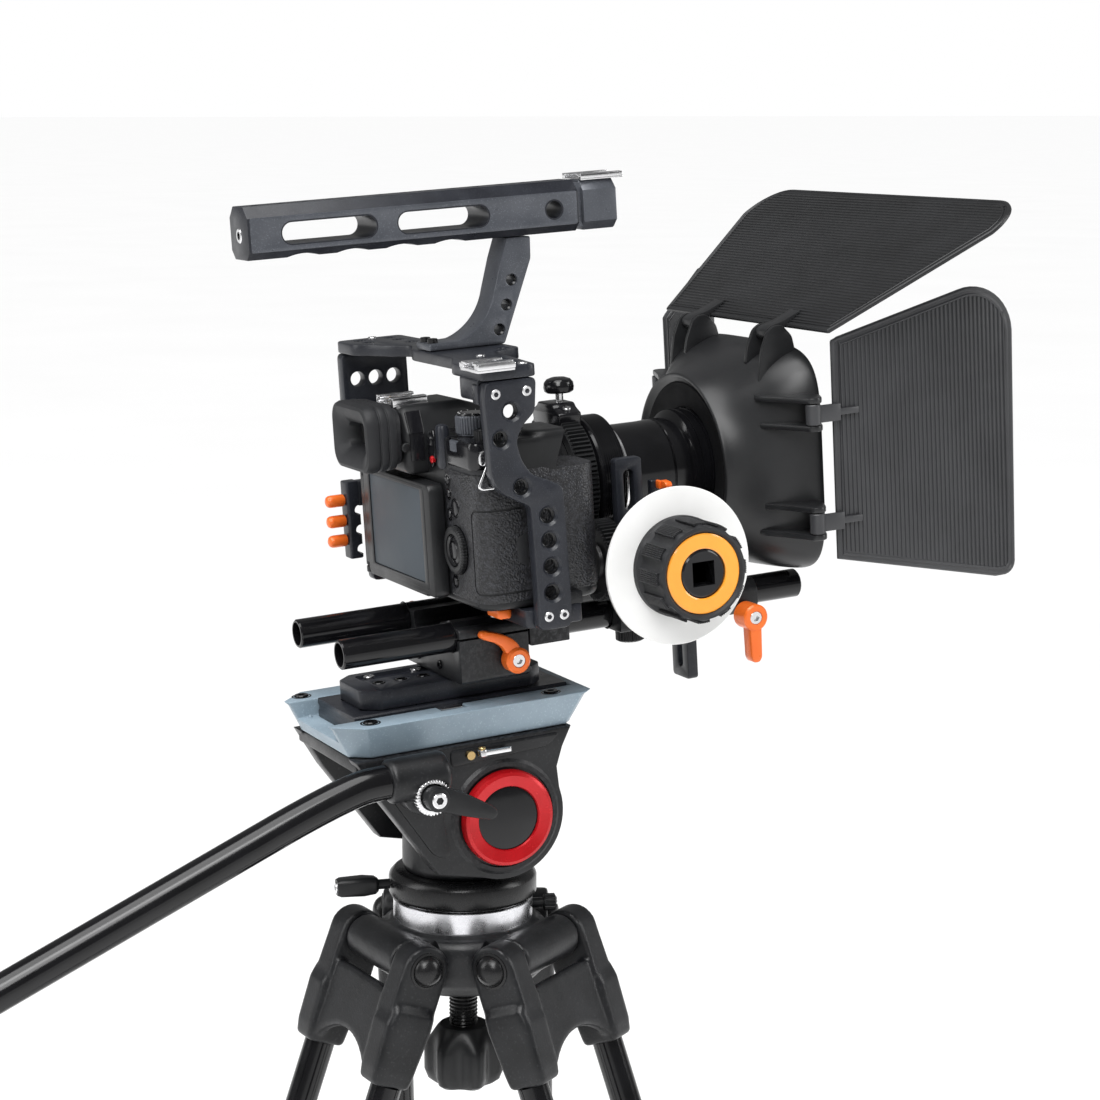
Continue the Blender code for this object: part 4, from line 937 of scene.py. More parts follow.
def cage():
    low, high = span("cage_base")
    floor_low, floor_high = 104.5, high.z
    hub_half, hub_front = 41.0, high.y
    hub = plate([(-hub_half, low.z), (hub_half, low.z), (hub_half, 110), (-hub_half, 110)], "y", 21.6,
                hub_front, rod_bores(), edge=0.8)
    floor = plate(filleted([(low.x, low.y), (high.x, low.y), (high.x, 30), (low.x, 30)], 3), "z", floor_low,
                  floor_high, [rounded((-34, 7), (-14, 15), 3.9), circle(30, 10, 3.3), circle(50, 10, 3.3)],
                  edge=0.8)
    piece("cage_floor", "rig", ANODISED, floor, stands_for="cage_base")
    piece("cage_rod_hub", "rig", CAST, hub)
    piece("floor_screws", "rig", STEEL, screw((0, hub_front - 0.2, 97), "y", 3.2, 1.6))

    low, high = span("cage_side_right")
    x0, x1 = low.x, high.x
    outline = [(-18, 227.6), (-19, 219), (-17.5, 181), (-12.8, 173.5), (2, 165.5), (3, 112), (2.5, 104.5),
               (19.5, 104.5), (20.5, 117), (19.5, 173.5), (11, 178), (3.5, 181), (-1.5, 188.5), (-3.7, 198),
               (0, 205), (7, 211), (8.6, 227.6)]
    spots = [(-5.5, 212.4), (-11.5, 199.7), (-2.2, 175.5), (10.6, 160.2), (10.9, 148), (11.1, 135.2),
             (10.8, 122.4)]
    wall = plate(filleted(outline, 3.2), "x", x0, x1, [circle(y, z, 3.9, 32) for y, z in spots], edge=0.9)
    sinks = [lathe([(0, 3), (5.3, 3), (5.3, 1.2), (3.6, -0.4), (0, -0.4)], "x", (x1 - 1.1, y, z), 32)
             for y, z in spots]
    piece("cage_wall_right", "rig", ANODISED, cut(wall, *sinks), stands_for="cage_side_right")
    threads = [lathe([(3.9, 0), (3.25, 0.3), (3.9, 0.6), (3.3, 0.9), (3.9, 1.2), (3.3, 1.5), (3.9, 1.8),
                      (3.3, 2.1), (3.9, 2.4), (4.1, 2.4), (4.1, 0)], "x", (x1 - 4.4, y, z), 24)
               for y, z in spots]
    piece("cage_threads_right", "rig", GLOSS_BLACK, *threads)
    heads = [(-13.2, 221.4), (3.0, 221.5), (7.7, 111.0), (15.8, 111.0)]
    piece("cage_screws_right", "rig", STEEL, *(screw((x1 - 0.5, y, z), "x", 2.5, 1.3) for y, z in heads))
    lip = plate(filleted([(-19.4, 226), (-19.4, 216.5), (-14.6, 215.2), (-13, 226)], 1), "x", x0 - 6,
                x0 + 0.4, edge=0.5)
    piece("cage_wall_lip", "rig", ANODISED, lip)
    spacer = box((76, 21.5, 113.2), (87.2, 30.5, 119.5), 0.8)
    piece("cage_spacer", "rig", CAST, spacer)

    low, high = span("cage_side_left")
    outline = [(-24, 227.6), (-24, 180), (-15, 168), (-15, 104.5), (13, 104.5), (13, 227.6)]
    upper, lower = [[circle(y, z, 3.9, 32) for y in (-15.6, -5.3, 4.9)] for z in (213.6, 192)]
    slots = [rounded((-6, 120), (6, 136), 5.8), rounded((-10, 150), (4, 166), 5.8)]
    wall = plate(filleted(outline, 3.2), "x", low.x, high.x, upper + slots + lower, edge=0.9)
    piece("cage_wall_left", "rig", ANODISED, wall, stands_for="cage_side_left")
    piece("cage_screws_left", "rig", STEEL, *(screw((low.x + 0.5, y, z), "-x", 2.5, 1.3)
                                              for y, z in ((-19, 222), (8, 222), (-10, 110), (8, 110))))

    low, high = span("cage_top")
    x1, y1 = high.x, high.y
    roof = [(-84, -24), (-60, -24), (-52, -17), (-40, -12), (-28, -3), (-14, -10), (40, -10), (58, -19),
            (x1, -19), (x1, 9), (58, 13), (34, 14), (26, y1), (-12, y1), (-22, 14), (-84, 13)]
    spots = [(-74, -14), (-74, 3), (-62, -14), (-62, 3), (-46, 4), (-30, 5), (24, 24), (-9, 24)]
    roof = plate(filleted(roof, 4.5), "z", high.z - 6.0, high.z, [circle(x, y, 3.0, 28) for x, y in spots],
                 edge=0.8)
    under = plate(filleted([(-18.7, low.z), (-18.7, 229), (8.5, 229), (8.5, low.z)], 2), "x", 66, 87.6,
                  [circle(-5, 223, 3.2, 28)], edge=0.7)
    piece("cage_roof", "rig", ANODISED, roof, under, stands_for="cage_top")
    piece("cage_roof_screws", "rig", STEEL, *(screw((x, y, high.z - 0.4), "z", 2.4, 1.2)
                                              for x, y in ((-79, -5), (90.5, -14), (90.5, 4), (46, 2))))
    shoe_z = high.z
    stop = box((83, -5.2, shoe_z), (95.6, -4, shoe_z + 2.4), 0.3)
    rails = shoe(89.3, (-23.4, -4), shoe_z, (-1.4, 0.5, 2.6, 1.9, 3.3), 10.3, (6.1, 11.3), (4.1, 8.7),
                 (0.3, 0.35, 0.3))
    piece("side_shoe", "rig", STEEL, *rails, stop)


def handle_arm():
    low, high = span("handle_arm")
    top_z = high.z - 0.2
    stem = [(50, top_z), (49.6, 276), (32.5, low.z), (-9, low.z), (-9, 238)] \
        + arc((-2.0, 268.0), 31.0, -80, -12, 10)[1:] + [(33, 277), (36.8, top_z)]
    spots = [(38.2, 266), (34.6, 253.7), (29.9, 241.5)]
    arm = plate(filleted(stem, 1.0, 2), "x", low.x, high.x, [circle(y, z, 2.9, 28) for y, z in spots],
                edge=0.9)
    piece("arm", "rig", LIT_SLATE, arm, stands_for="handle_arm")
    piece("arm_threads", "rig", GLOSS_BLACK,
          *(lathe([(2.9, 0), (2.35, 0.3), (2.9, 0.6), (2.4, 0.9), (2.9, 1.2), (2.4, 1.5), (2.9, 1.8),
                   (3.1, 1.8), (3.1, 0)], "x", (high.x - 3.4, y, z), 24) for y, z in spots))
    piece("arm_screws", "rig", GLOSS_BLACK, *(screw((x, -5.6, 238.1), "z", 2.7, 2.2) for x in (-4.6, 4.6)))


def top_handle():
    low, high = span("top_handle")
    y0, y1, top = low.y, high.y, high.z
    section = [(-13, 292), (-13, 308), (-7.5, top), (7.5, top), (13, 308), (13, 292), (8.5, 287.7),
               (-8.5, 287.7)]
    axis_z, cross_y = 299.5, 62.1
    slots = [(-83.6, -34.4), (-22.9, 25.9)]

    def finger_grooves(radius):
        return [rod((-20, y, 265.6), "x", radius, 40, 96) for y in (-72, -46, -20, 6)]

    windows = [plate(rounded((a, 294.4), (b, 304.8), 5.1, 8), "x", -20, 20, edge=0.1) for a, b in slots]
    cross_hole = rod((-20, cross_y, axis_z), "x", 4.4, 40, 40)
    top_holes = [rod((0, -92 + 13 * i, top - 3.5), "z", 2.0, 6, 24) for i in range(13)]
    rear_hole = rod((0, y0 - 4, axis_z), "y", 2.7, 18, 28)
    bar = cut(plate(section, "y", y0, 76.0, edge=0.5), *windows, cross_hole, *finger_grooves(23.6),
              *top_holes, rear_hole)
    piece("handle_body", "rig", ANODISED, bar, stands_for="top_handle")
    side = filleted([(y0 + 1.2, 291.4), (y0 + 1.2, 308.2), (75.0, 308.2), (75.0, 291.4)], 1.2)
    # Thin panels of the paler slate on both sides of the handle: painted light on its side faces.
    for name, sign in (("right", 1), ("left", -1)):
        lower, upper = sorted((sign * 12.6, sign * 13.25))
        holes = [rounded((a - 0.7, 293.7), (b + 0.7, 305.5), 5.8, 8) for a, b in slots]
        panel = plate(side, "x", lower, upper, holes + [circle(cross_y, axis_z, 5.2, 40)], edge=0.22)
        piece("handle_side_" + name, "rig", LIT_SLATE, cut(panel, *finger_grooves(23.9)))
    nose = cut(plate(section, "y", 78.6, y1, edge=1.3), rod((0, y1 - 8, axis_z), "y", 2.7, 18, 28))
    piece("handle_nose", "rig", LIT_SLATE, nose, box((-10.5, 75.5, 289.6), (10.5, 79.2, top - 1.6), 0.2))
    bush = [(2.0, 0.6), (3.3, 0.6), (3.7, 0.2), (3.7, -2), (2.0, -2)]
    piece("handle_bushes", "rig", STEEL, lathe(bush, "-y", (0, y0 + 0.2, axis_z), 28),
          lathe(bush, "y", (0, y1 - 0.2, axis_z), 28))
    rails = shoe(0, (79, 103), top, (-0.6, 0.4, 2.4, 1.5, 2.6), 10.8, (7.8, 10.8), (6.2, 10.8),
                 (0.25, 0.3, 0.25))
    piece("handle_shoe", "rig", STEEL, *rails)


def small_clamps():
    low, high = span("cable_clamp")
    body = plate(filleted([(low.x, low.y), (high.x, low.y), (high.x, high.y), (low.x, high.y)], 1.6), "z",
                 low.z, high.z, edge=0.8)
    grooves = [rod((low.x - 4, high.y - 0.8, z), "x", 2.7, 30, 24) for z in (145.0, 134.3, 123.9)]
    piece("cable_clamp_body", "rig", ANODISED, cut(body, *grooves), stands_for="cable_clamp")
    bridge = plate(filleted([(-79.6, -22.4), (-71, -22.4), (-71, -14), (-79.6, -14)], 1.2), "z", 147, 160,
                   edge=0.6)
    piece("cable_clamp_bridge", "rig", ANODISED, bridge)
    for index in (1, 2, 3):
        node = "cable_knob_%d" % index
        low, high = span(node)
        x, z = (low.x + high.x) * 0.5, (low.z + high.z) * 0.5
        r, length = (high.x - low.x) * 0.5, high.y - low.y
        knob = lathe([(0, length), (r * 0.5, length), (r * 0.78, length - 0.5), (r * 0.95, length - 1.5),
                      (r, length - 2.8), (r, 0.9), (r * 0.9, 0.2), (r * 0.6, 0), (r * 0.6, -0.8), (0, -0.8)],
                     "-y", (x, high.y, z), 64)
        piece("cable_screw_grip_%d" % index, "cable_screw_%d" % index, ORANGE, knob, stands_for=node)
    low, high = span("release_lever")
    bar = plate(filleted([(low.x, low.y), (high.x, low.y), (high.x, high.y), (low.x, high.y)], 3.2), "z",
                low.z, high.z, edge=1.1)
    grip = [box((low.x + 1.6, low.y + 1.6 + 2 * i, low.z - 0.25),
                (high.x - 1.6, low.y + 2.4 + 2 * i, low.z + 0.4), 0.1) for i in range(3)]
    piece("release_blade", "quick_release", ORANGE, bar, *grip, stands_for="release_lever")
    pin = joint_spot("quick_release_turn")
    piece("release_screw", "quick_release", STEEL, screw((pin.x, pin.y, low.z + 0.2), "-z", 2.6, 1.2))


# Camera -----------------------------------------------------------------------------------------
LENS_Z = joint_spot("lens_ring_turn").z


def camera_case():
    high = span("camera_body")[1]
    case = plate(rounded((-57, -20), (82, 26), 9.0, 6), "z", 114.0, 197.0, edge=2.2)
    grip = plate(rounded((50, 8), (high.x, high.y), 11.0, 8), "z", 114.6, 199.5, edge=3.4)
    slope = moved(box((30, 24, 186), (100, 80, 215), 0), turn(-20, "X", (0, 10, 190)))
    left_slope = moved(box((-80, -40, 193.5), (-40, 60, 215), 0), turn(-4, "Y", (-40, 0, 193.5)))
    well = rod((64, 8, 195.6), "z", 5.7, 8, 40)
    body = modified(join(case, grip), "REMESH", mode="VOXEL", voxel_size=0.9)
    body = modified(body, "SMOOTH", factor=0.5, iterations=4)
    body = cut(body, slope, left_slope, well)
    piece("camera_case", "rig", PLASTIC, body, stands_for="camera_body")

    grip_skin = plate(rounded((49.4, 7.4), (high.x + 0.25, high.y + 0.3), 11.2, 8), "z", 119, 181, edge=1.6)
    keep_out = box((44, -30, 100), (64, 18, 230), 0)
    piece("grip_covering", "rig", LEATHER, cut(grip_skin, keep_out))
    left_skin = plate(rounded((-57.3, 2), (-30, 26.3), 9.2, 6), "z", 120, 186, edge=0.8)
    piece("left_covering", "rig", LEATHER, left_skin)
    skin = plate(rounded((30, -20.35), (82.5, 26.3), 9.4, 8), "z", 117.5, 182.0, edge=1.2)
    outside = plate(rounded((73.2, 122), (104, 164), 4.5, 6), "y", -30, 24.0, edge=0.05)
    inside = plate(rounded((74.2, 123), (104, 163), 3.7, 6), "y", -40, 23.0, edge=0.05)
    keep_out = box((0, -40, 100), (44.2, 40, 200), 0)
    piece("rear_covering", "rig", LEATHER, cut(skin, keep_out, cut(outside, inside)))
    latch = filleted([(-1, 137), (-1, 149), (4.5, 151.5), (4.5, 134.5)], 1.5)
    piece("door_latch", "rig", RUBBER, plate(latch, "x", 82.0, 82.9, edge=0.3))
    dial_slot = rod((60, -13, 190.6), "z", 9.7, 6.4, 64)
    thumb = plate(rounded((47.2, -21.7), (81.4, -9.6), 5.0, 6), "z", 183.2, 197.2, edge=2.0)
    piece("thumb_shoulder", "rig", SHINY_PLASTIC, cut(thumb, dial_slot))
    piece("thumb_shoulder_foot", "rig", RUBBER,
          plate(rounded((46.6, -20.9), (82.2, -8), 8.0, 6), "z", 181.6, 184.0, edge=0.5))
    pillar = plate(rounded((38.0, -22.3), (45.8, -16.2), 2.8, 6), "z", 180.0, 202.5, edge=2.4)
    piece("thumb_pillar", "rig", ANODISED, pillar)

    # Finder hump with its side panels and hot shoe.
    hump = loft([[(-h, y, z0), (-h, y, 196), (-t, y, top - 3.0), (-t + 3.5, y, top), (t - 3.5, y, top),
                  (t, y, top - 3.0), (h, y, 196), (h, y, z0)]
                 for y, h, t, z0, top in ((-31.6, 21.5, 17.0, 178, 207.5), (-29, 23.5, 18.5, 176, 209.6),
                                          (2, 22.5, 17.5, 176, 209.8), (14, 19.5, 15.0, 176, 206.0),
                                          (22, 17.0, 13.0, 176, 199.5))])
    hump = soften(hump, 1.6, 3, 20)
    back = plate(rounded((-17.5, 182.5), (17.5, 207.5), 7.0, 6), "y", -32.6, -29.5, edge=0.8)
    piece("finder_hump", "rig", PLASTIC, hump, back)
    cheek = [(22.6, 183), (24.0, 183), (24.0, 196.2), (19.4, 206.6), (18.0, 206.0), (22.6, 195.8)]
    upper = [(22.6, 197.0), (24.0, 196.8), (19.4, 207.2), (18.0, 206.6)]
    panel = join(plate(cheek, "y", -29.0, -21.5, edge=0.3),
                 plate([(x + 0.3, z + 0.1) for x, z in upper], "y", -29.2, -21.3, edge=0.25))
    piece("hump_panel_right", "rig", SHINY_PLASTIC, panel)
    piece("hump_panel_left", "rig", SHINY_PLASTIC, moved(panel, MIRROR_X))
    rails = shoe(0, (-31.8, -13), 209.6, (-1.0, 0.6, 3.6, 2.4, 3.8), 10.8, (8.4, 10.8), (6.4, 10.8),
                 (0.3, 0.3, 0.25))
    piece("hot_shoe", "rig", STEEL, *rails)
    contacts = [(0, -21), (-3.4, -17), (3.4, -17), (-3.4, -25), (3.4, -25)]
    piece("hot_shoe_contacts", "rig", BRASS,
          *(disc((x, y, 210.1), "z", 0.8, 0.25, 0.1, 16) for x, y in contacts))


def eyecup():
    low, high = span("eyecup")
    x, z0, z1 = high.x, low.z, high.z

    def ring(y, grow, r):
        return [(a, y, b) for a, b in rounded((-x - grow, z0 - grow), (x + grow, z1 + grow), r, 8)]

    outer = [ring(-32.6, -3.2, 6.5), ring(-35.0, -2.8, 6.5), ring(-35.8, -0.8, 8.6), ring(-39.4, -0.4, 9.0),
             ring(-39.8, -1.1, 8.4), ring(-40.4, -1.1, 8.4), ring(-40.8, -0.2, 9.2), ring(-44.0, -0.1, 9.3),
             ring(-44.4, -0.8, 8.7), ring(-45.0, -0.8, 8.7), ring(-45.4, 0.0, 9.4), ring(-49.6, 0.0, 9.4),
             ring(-51.4, -0.8, 8.8), ring(-52.0, -2.4, 7.8)]
    inner = [ring(-51.5, -4.2, 7.2), ring(-50.0, -7.4, 6.2), ring(-46.5, -10.2, 5.0), ring(-41.5, -11.3, 4.2),
             ring(-39.0, -11.5, 4.0)]
    cup = soften(loft(outer + inner), 0.4, 2, 60)
    piece("eye_cushion", "rig", RUBBER, cup, stands_for="eyecup")
    frame_in = plate(rounded((-14, z0 + 6.9), (14, z1 - 6.9), 4.0, 6), "y", -40.4, -39.2,
                     [rounded((-8.6, z0 + 9.6), (8.6, z1 - 9.6), 2.6, 6)], edge=0.3)
    piece("finder_frame", "rig", PLASTIC, frame_in)
    glass = loft([[(a, y, b) for a, b in rounded((-9.0 + d, z0 + 9.2 + d), (9.0 - d, z1 - 9.2 - d), 3.0, 6)]
                  for y, d in ((-38.6, 0.0), (-39.2, 0.2), (-39.7, 1.4), (-39.9, 3.0))])
    piece("finder_glass", "rig", GLASS, glass)
    piece("diopter_wheel", "rig", PLASTIC, knurled((21.4, -31.2, 190.0), "x", 2.5, 2.4, 20, 0.3, 0.3))


def flip_screen():
    low, high = span("screen")
    pin = joint_spot("monitor_flip")
    y0, y1 = low.y, high.y
    left = -46.0
    shell = plate(rounded((left, low.z), (high.x, high.z), 4.2, 6), "y", y0 + 0.25, y1, edge=1.1)
    window = plate(rounded((-37.0, 122.4), (31.0, 169.8), 1.2, 4), "y", y0 - 2, y0 + 0.95, edge=0.05)
    notch = plate(rounded((30.8, 112), (41, 117.2), 1.5, 4), "y", y0 - 3, y0 + 2.5, edge=0.1)
    piece("screen_shell", "monitor", PLASTIC, cut(shell, window, notch), stands_for="screen")
    rim = plate(rounded((-40.8, 119.0), (35.2, 171.4), 2.4, 5), "y", y0 + 0.05, y0 + 0.8,
                [rounded((-36.9, 122.5), (30.9, 169.7), 1.2, 4)], edge=0.2)
    piece("screen_border", "monitor", PLASTIC, rim)
    glass = plate(rounded((-36.8, 122.6), (30.8, 169.6), 1.0, 4), "y", y0 + 0.55, y0 + 1.5, edge=0.15)
    piece("screen_glass", "monitor", SCREEN, glass)
    column = lathe([(0, 50), (2.9, 50), (3.5, 49.4), (3.5, 0.6), (2.9, 0), (0, 0)], "z", (pin.x, pin.y, 119),
                   32)
    bridge = box((pin.x, -28.0, 121), (left + 1.2, y1 - 0.5, 167), 0.6)
    piece("screen_hinge_column", "monitor", PLASTIC, column, bridge)
    for z in (115.2, 169.3):
        piece("screen_hinge_end_%d" % z, "rig", PLASTIC,
              lathe([(0, 3.6), (3.0, 3.6), (3.5, 3.0), (3.5, 0.4), (3.1, 0), (0, 0)], "z", (pin.x, pin.y, z),
                    32), box((-54, pin.y, z), (-48, -19.6, z + 3.5), 0.4))


def dials():
    low, high = span("mode_dial")
    pin = joint_spot("mode_wheel_turn")
    r, z0, z1 = 9.5, low.z, high.z
    grip = [(r - 1.0, z1 - 2.4, 0.0), (r, z1 - 3.2, 0.5), (r, z0 + 1.0, 0.5), (r - 0.6, z0 + 0.5),
            (r - 0.6, z0), (0, z0)]
    piece("mode_dial_grip", "mode_wheel", LIT_SLATE,
          lathe([(0, z1 - 2.4)] + grip, "z", (pin.x, pin.y, 0), 160, teeth(40)), stands_for="mode_dial")
    piece("mode_dial_cap", "mode_wheel", SHINY_PLASTIC,
          lathe([(6.9, z1 - 1.2), (8.2, z1 - 1.4), (8.5, z1 - 2.0), (8.5, z1 - 2.5), (6.9, z1 - 2.5)], "z",
                (pin.x, pin.y, 0), 64))
    piece("mode_dial_top", "mode_wheel", SHINY_PLASTIC,
          lathe([(0, z1 - 1.2), (6.3, z1 - 1.3), (6.9, z1 - 1.7), (6.9, z1 - 2.5), (0, z1 - 2.5)], "z",
                (pin.x, pin.y, 0), 64))
    marks = [moved(box((pin.x + 7.2, pin.y - 0.18, z1 - 1.35), (pin.x + 8.0, pin.y + 0.18, z1 - 1.15), 0),
                   turn(30 * i, "Z", (pin.x, pin.y, 0))) for i in range(12)]
    piece("mode_dial_marks", "mode_wheel", WHITE, *marks)
    piece("front_dial", "rig", PLASTIC, knurled((71.0, -8.0, 196.2), "z", 6.6, 5.6, 30, 0.4, 0.5))
    piece("front_dial_cap", "rig", SHINY_PLASTIC, disc((71.0, -8.0, 201.7), "z", 5.2, 0.5, 0.3, 40))
    piece("left_dial", "rig", PLASTIC, knurled((-42, -4, 192.4), "z", 9.0, 7.4, 36, 0.45, 0.6),
          disc((-42, -4, 199.6), "z", 6.2, 0.9, 0.4, 48))

    low, high = span("rear_wheel")
    pin = joint_spot("control_wheel_turn")
    r = 12.0
    rim = [(8.3, 2.9), (9.4, 3.2), (r - 1.0, 3.0, 0.5), (r, 2.2, 0.5), (r, 0.5, 0.4), (r - 0.6, 0), (8.3, 0)]
    hub = (pin.x, high.y, pin.z)
    piece("rear_wheel_rim", "control_wheel", PLASTIC, lathe(rim, "-y", hub, 192, teeth(48)),
          stands_for="rear_wheel")
    piece("rear_wheel_pad", "control_wheel", SHINY_PLASTIC,
          lathe([(4.9, 2.6), (6.4, 2.0), (7.7, 2.5), (8.1, 2.2), (8.1, 0), (4.9, 0)], "-y", hub, 64))
    piece("rear_wheel_centre", "rig", SHINY_PLASTIC,
          disc((pin.x, high.y + 0.2, pin.z), "-y", 4.5, 3.0, 0.7, 48))
    piece("rear_wheel_ring", "rig", GLOSS_BLACK,
          lathe([(0, 0), (12.3, 0), (12.6, -0.1), (12.6, -0.8), (0, -0.8)], "-y", (pin.x, -20.38, pin.z), 64))

    low, high = span("shutter_button")
    pin = joint_spot("shutter_press")
    piece("shutter_cap", "shutter", STEEL,
          lathe([(0, 2.5), (3.0, 2.7), (4.4, 2.9), (4.9, 2.6), (5.2, 2.0), (5.2, 0), (0, 0)], "z",
                (pin.x, pin.y, low.z), 48), stands_for="shutter_button")
    piece("shutter_collar", "rig", SHINY_PLASTIC,
          lathe([(5.75, 2.2), (6.6, 2.4), (8.4, 1.7), (8.8, 0.8), (8.8, -2.5), (5.75, -2.5)], "z",
                (pin.x, pin.y, 196.4), 64))


def buttons():
    def button(name, x, y, z, axis, r, h):
        cap = [(0, h), (r * 0.6, h - 0.05), (r * 0.9, h - 0.3), (r, h - 0.8), (r, -0.8), (0, -0.8)]
        rim = [(r + 0.25, 0.25), (r + 0.9, 0.2), (r + 1.1, -0.2), (r + 0.25, -0.4)]
        piece(name, "rig", SHINY_PLASTIC, lathe(cap, axis, (x, y, z), 36))
        piece(name + "_rim", "rig", GLOSS_BLACK, lathe(rim, axis, (x, y, z), 36))

    for index, (x, z, r) in enumerate(((55.0, 162.4, 4.0), (47.6, 175.4, 2.3), (47.8, 168.8, 2.3),
                                       (47.8, 158.6, 2.3), (50.0, 125.4, 2.5))):
        button("rear_button_%d" % index, x, -20.3, z, "-y", r, 1.2)
    cluster = plate([(31.6 + 4.6 * math.cos(a) + 1.2 * math.sin(a), 189.4 + 9.6 * math.sin(a))
                     for a in (2 * math.pi * i / 40 for i in range(40))], "y", -21.4, -19.4, edge=0.5)
    piece("button_cluster", "rig", SHINY_PLASTIC, cluster)
    piece("record_button", "rig", RED,
          lathe([(0, 1.5), (1.3, 1.4), (1.8, 1.0), (1.8, -0.4), (0, -0.4)], "-y", (33.2, -21.2, 184.2), 32))
    piece("cluster_button", "rig", SHINY_PLASTIC,
          lathe([(0, 1.6), (2.0, 1.5), (2.6, 1.0), (2.6, -0.4), (0, -0.4)], "-y", (32.0, -21.1, 193.4), 32))
    piece("thumb_dial", "rig", LIT_SLATE, knurled((60.0, -13.0, 191.0), "z", 9.5, 5.6, 44, 0.55, 0.4))
    for index, (x, y) in enumerate(((34, 2), (33, -9), (76.5, 3.0))):
        button("top_button_%d" % index, x, y, 195.8 if x > 30 else 192, "z", 2.7, 1.5)
    piece("strap_lug", "rig", STEEL,
          plate(filleted([(-18.5, 186.2), (-18.5, 192), (-14, 194.6), (-9.6, 192), (-9.6, 186.2)], 2), "x",
                81.0, 84.0, [circle(-14, 190.2, 1.3, 20)], edge=0.4))
    low, high = span("strap_ring")
    x = (low.x + high.x) * 0.5
    corners = [(-14.0, high.z + 0.2), (-20.2, low.z + 2.2), (-18.8, low.z + 0.9), (-9.2, low.z + 0.9),
               (-7.8, low.z + 2.2)]
    loop = [(x, a, b) for a, b in filleted(corners, 2.6, 6)]
    piece("strap_triangle", "strap_eye", STEEL, pipe(loop, 0.85, True, 4), stands_for="strap_ring")


# Lens and follow focus --------------------------------------------------------------------------
def lens():
    high = span("lens_barrel")[1]
    piece("lens_mount", "rig", RING_STEEL,
          lathe([(27, 2.0), (33.0, 1.8), (33.4, 1.3), (33.4, -1), (27, -1)], "y", (0, 35.6, LENS_Z), 72))
    piece("mount_collar", "rig", PLASTIC,
          lathe([(26, 18), (33.6, 16.6), (34.4, 15.6), (34.8, 0), (26, 0)], "y", (0, 19.5, LENS_Z), 72))
    ribs = []
    for i in range(9):
        y = 74.0 + 1.25 * i
        ribs += [(32.4, y), (32.4, y + 0.7), (31.8, y + 0.8), (31.8, y + 1.15)]
    profile = [(25.6, high.y), (28.6, high.y), (29.5, 140.0), (29.5, 137.2), (28.8, 136.9), (28.8, 136.2),
               (29.5, 135.9), (29.5, 132.2), (28.9, 131.9), (28.9, 131.2), (29.5, 130.9), (29.5, 128.4),
               (28.6, 127.6), (26.0, 126.4), (26.0, 118.0), (25.6, 117.7), (25.6, 116.9), (25.9, 116.6),
               (24.8, 92), (24.6, 87.4), (31.6, 86.0), (32.4, 85.5)] + ribs[::-1]
    profile += [(32.4, 73.2), (31.6, 72.0), (29.0, 70.8), (29.0, 37.4), (25.6, 37.4)]
    piece("barrel", "rig", GLOSS_BLACK, lathe(profile, "y", (0, 0, LENS_Z), 96), stands_for="lens_barrel")
    band = [(25.6, 90.8), (25.85, 90.7), (25.85, 89.6), (25.0, 89.5), (25.0, 90.8)]
    piece("barrel_band", "rig", STEEL, lathe(band, "y", (0, 0, LENS_Z), 96))
    edge, crown, bulge = 25.4, 138.6, 4.2
    glass = [(0, crown)] + [(r, crown - (r / edge) ** 2 * bulge) for r in (6, 12, 18, 22, edge)]
    glass += [(edge, 131), (0, 131)]
    piece("front_glass", "rig", GLASS, lathe(glass, "y", (0, 0, LENS_Z), 72))

    y0, width = 57.0, 12.0
    rim = [(29.4, width), (34.0, width), (34.4, width - 0.4), (35.95, width - 1.2, 1.55), (35.95, 1.2, 1.55),
           (34.4, 0.4), (34.0, 0), (29.4, 0)]
    piece("gear_ring_teeth", "lens_ring", PLASTIC, lathe(rim, "y", (0, y0, LENS_Z), 360, teeth(90)),
          stands_for="gear_ring")
    lug = [(-15, 29.8), (-16.5, 36.6), (-10.5, 39.2), (-8.5, 41.5), (8.5, 41.5), (10.5, 39.2), (16.5, 36.6),
           (15, 29.8)]
    piece("gear_ring_lug", "lens_ring", SHINY_PLASTIC,
          plate(filleted([(x, LENS_Z + z) for x, z in lug], 1.4, 3), "y", y0 - 0.4, y0 + width + 0.4,
                edge=0.7))
    piece("gear_ring_knob", "lens_ring", SHINY_PLASTIC,
          lathe([(0, 11.4), (3.6, 11.2), (6.2, 10.3), (7.6, 8.6), (8.0, 6.2), (7.6, 4.2), (6.6, 3.4),
                 (0, 3.4)], "z", (0, y0 + 8, LENS_Z + 42.6), 72))
    piece("gear_ring_screw", "lens_ring", STEEL,
          rod((0, y0 + 8, LENS_Z + 39.2), "z", 2.1, 9, 32),
          screw((12.3, y0 + 6, LENS_Z + 38.6), Vector((0.4, 0, 1)), 2.2, 1.3),
          screw((-12.3, y0 + 6, LENS_Z + 38.6), Vector((-0.4, 0, 1)), 2.2, 1.3))


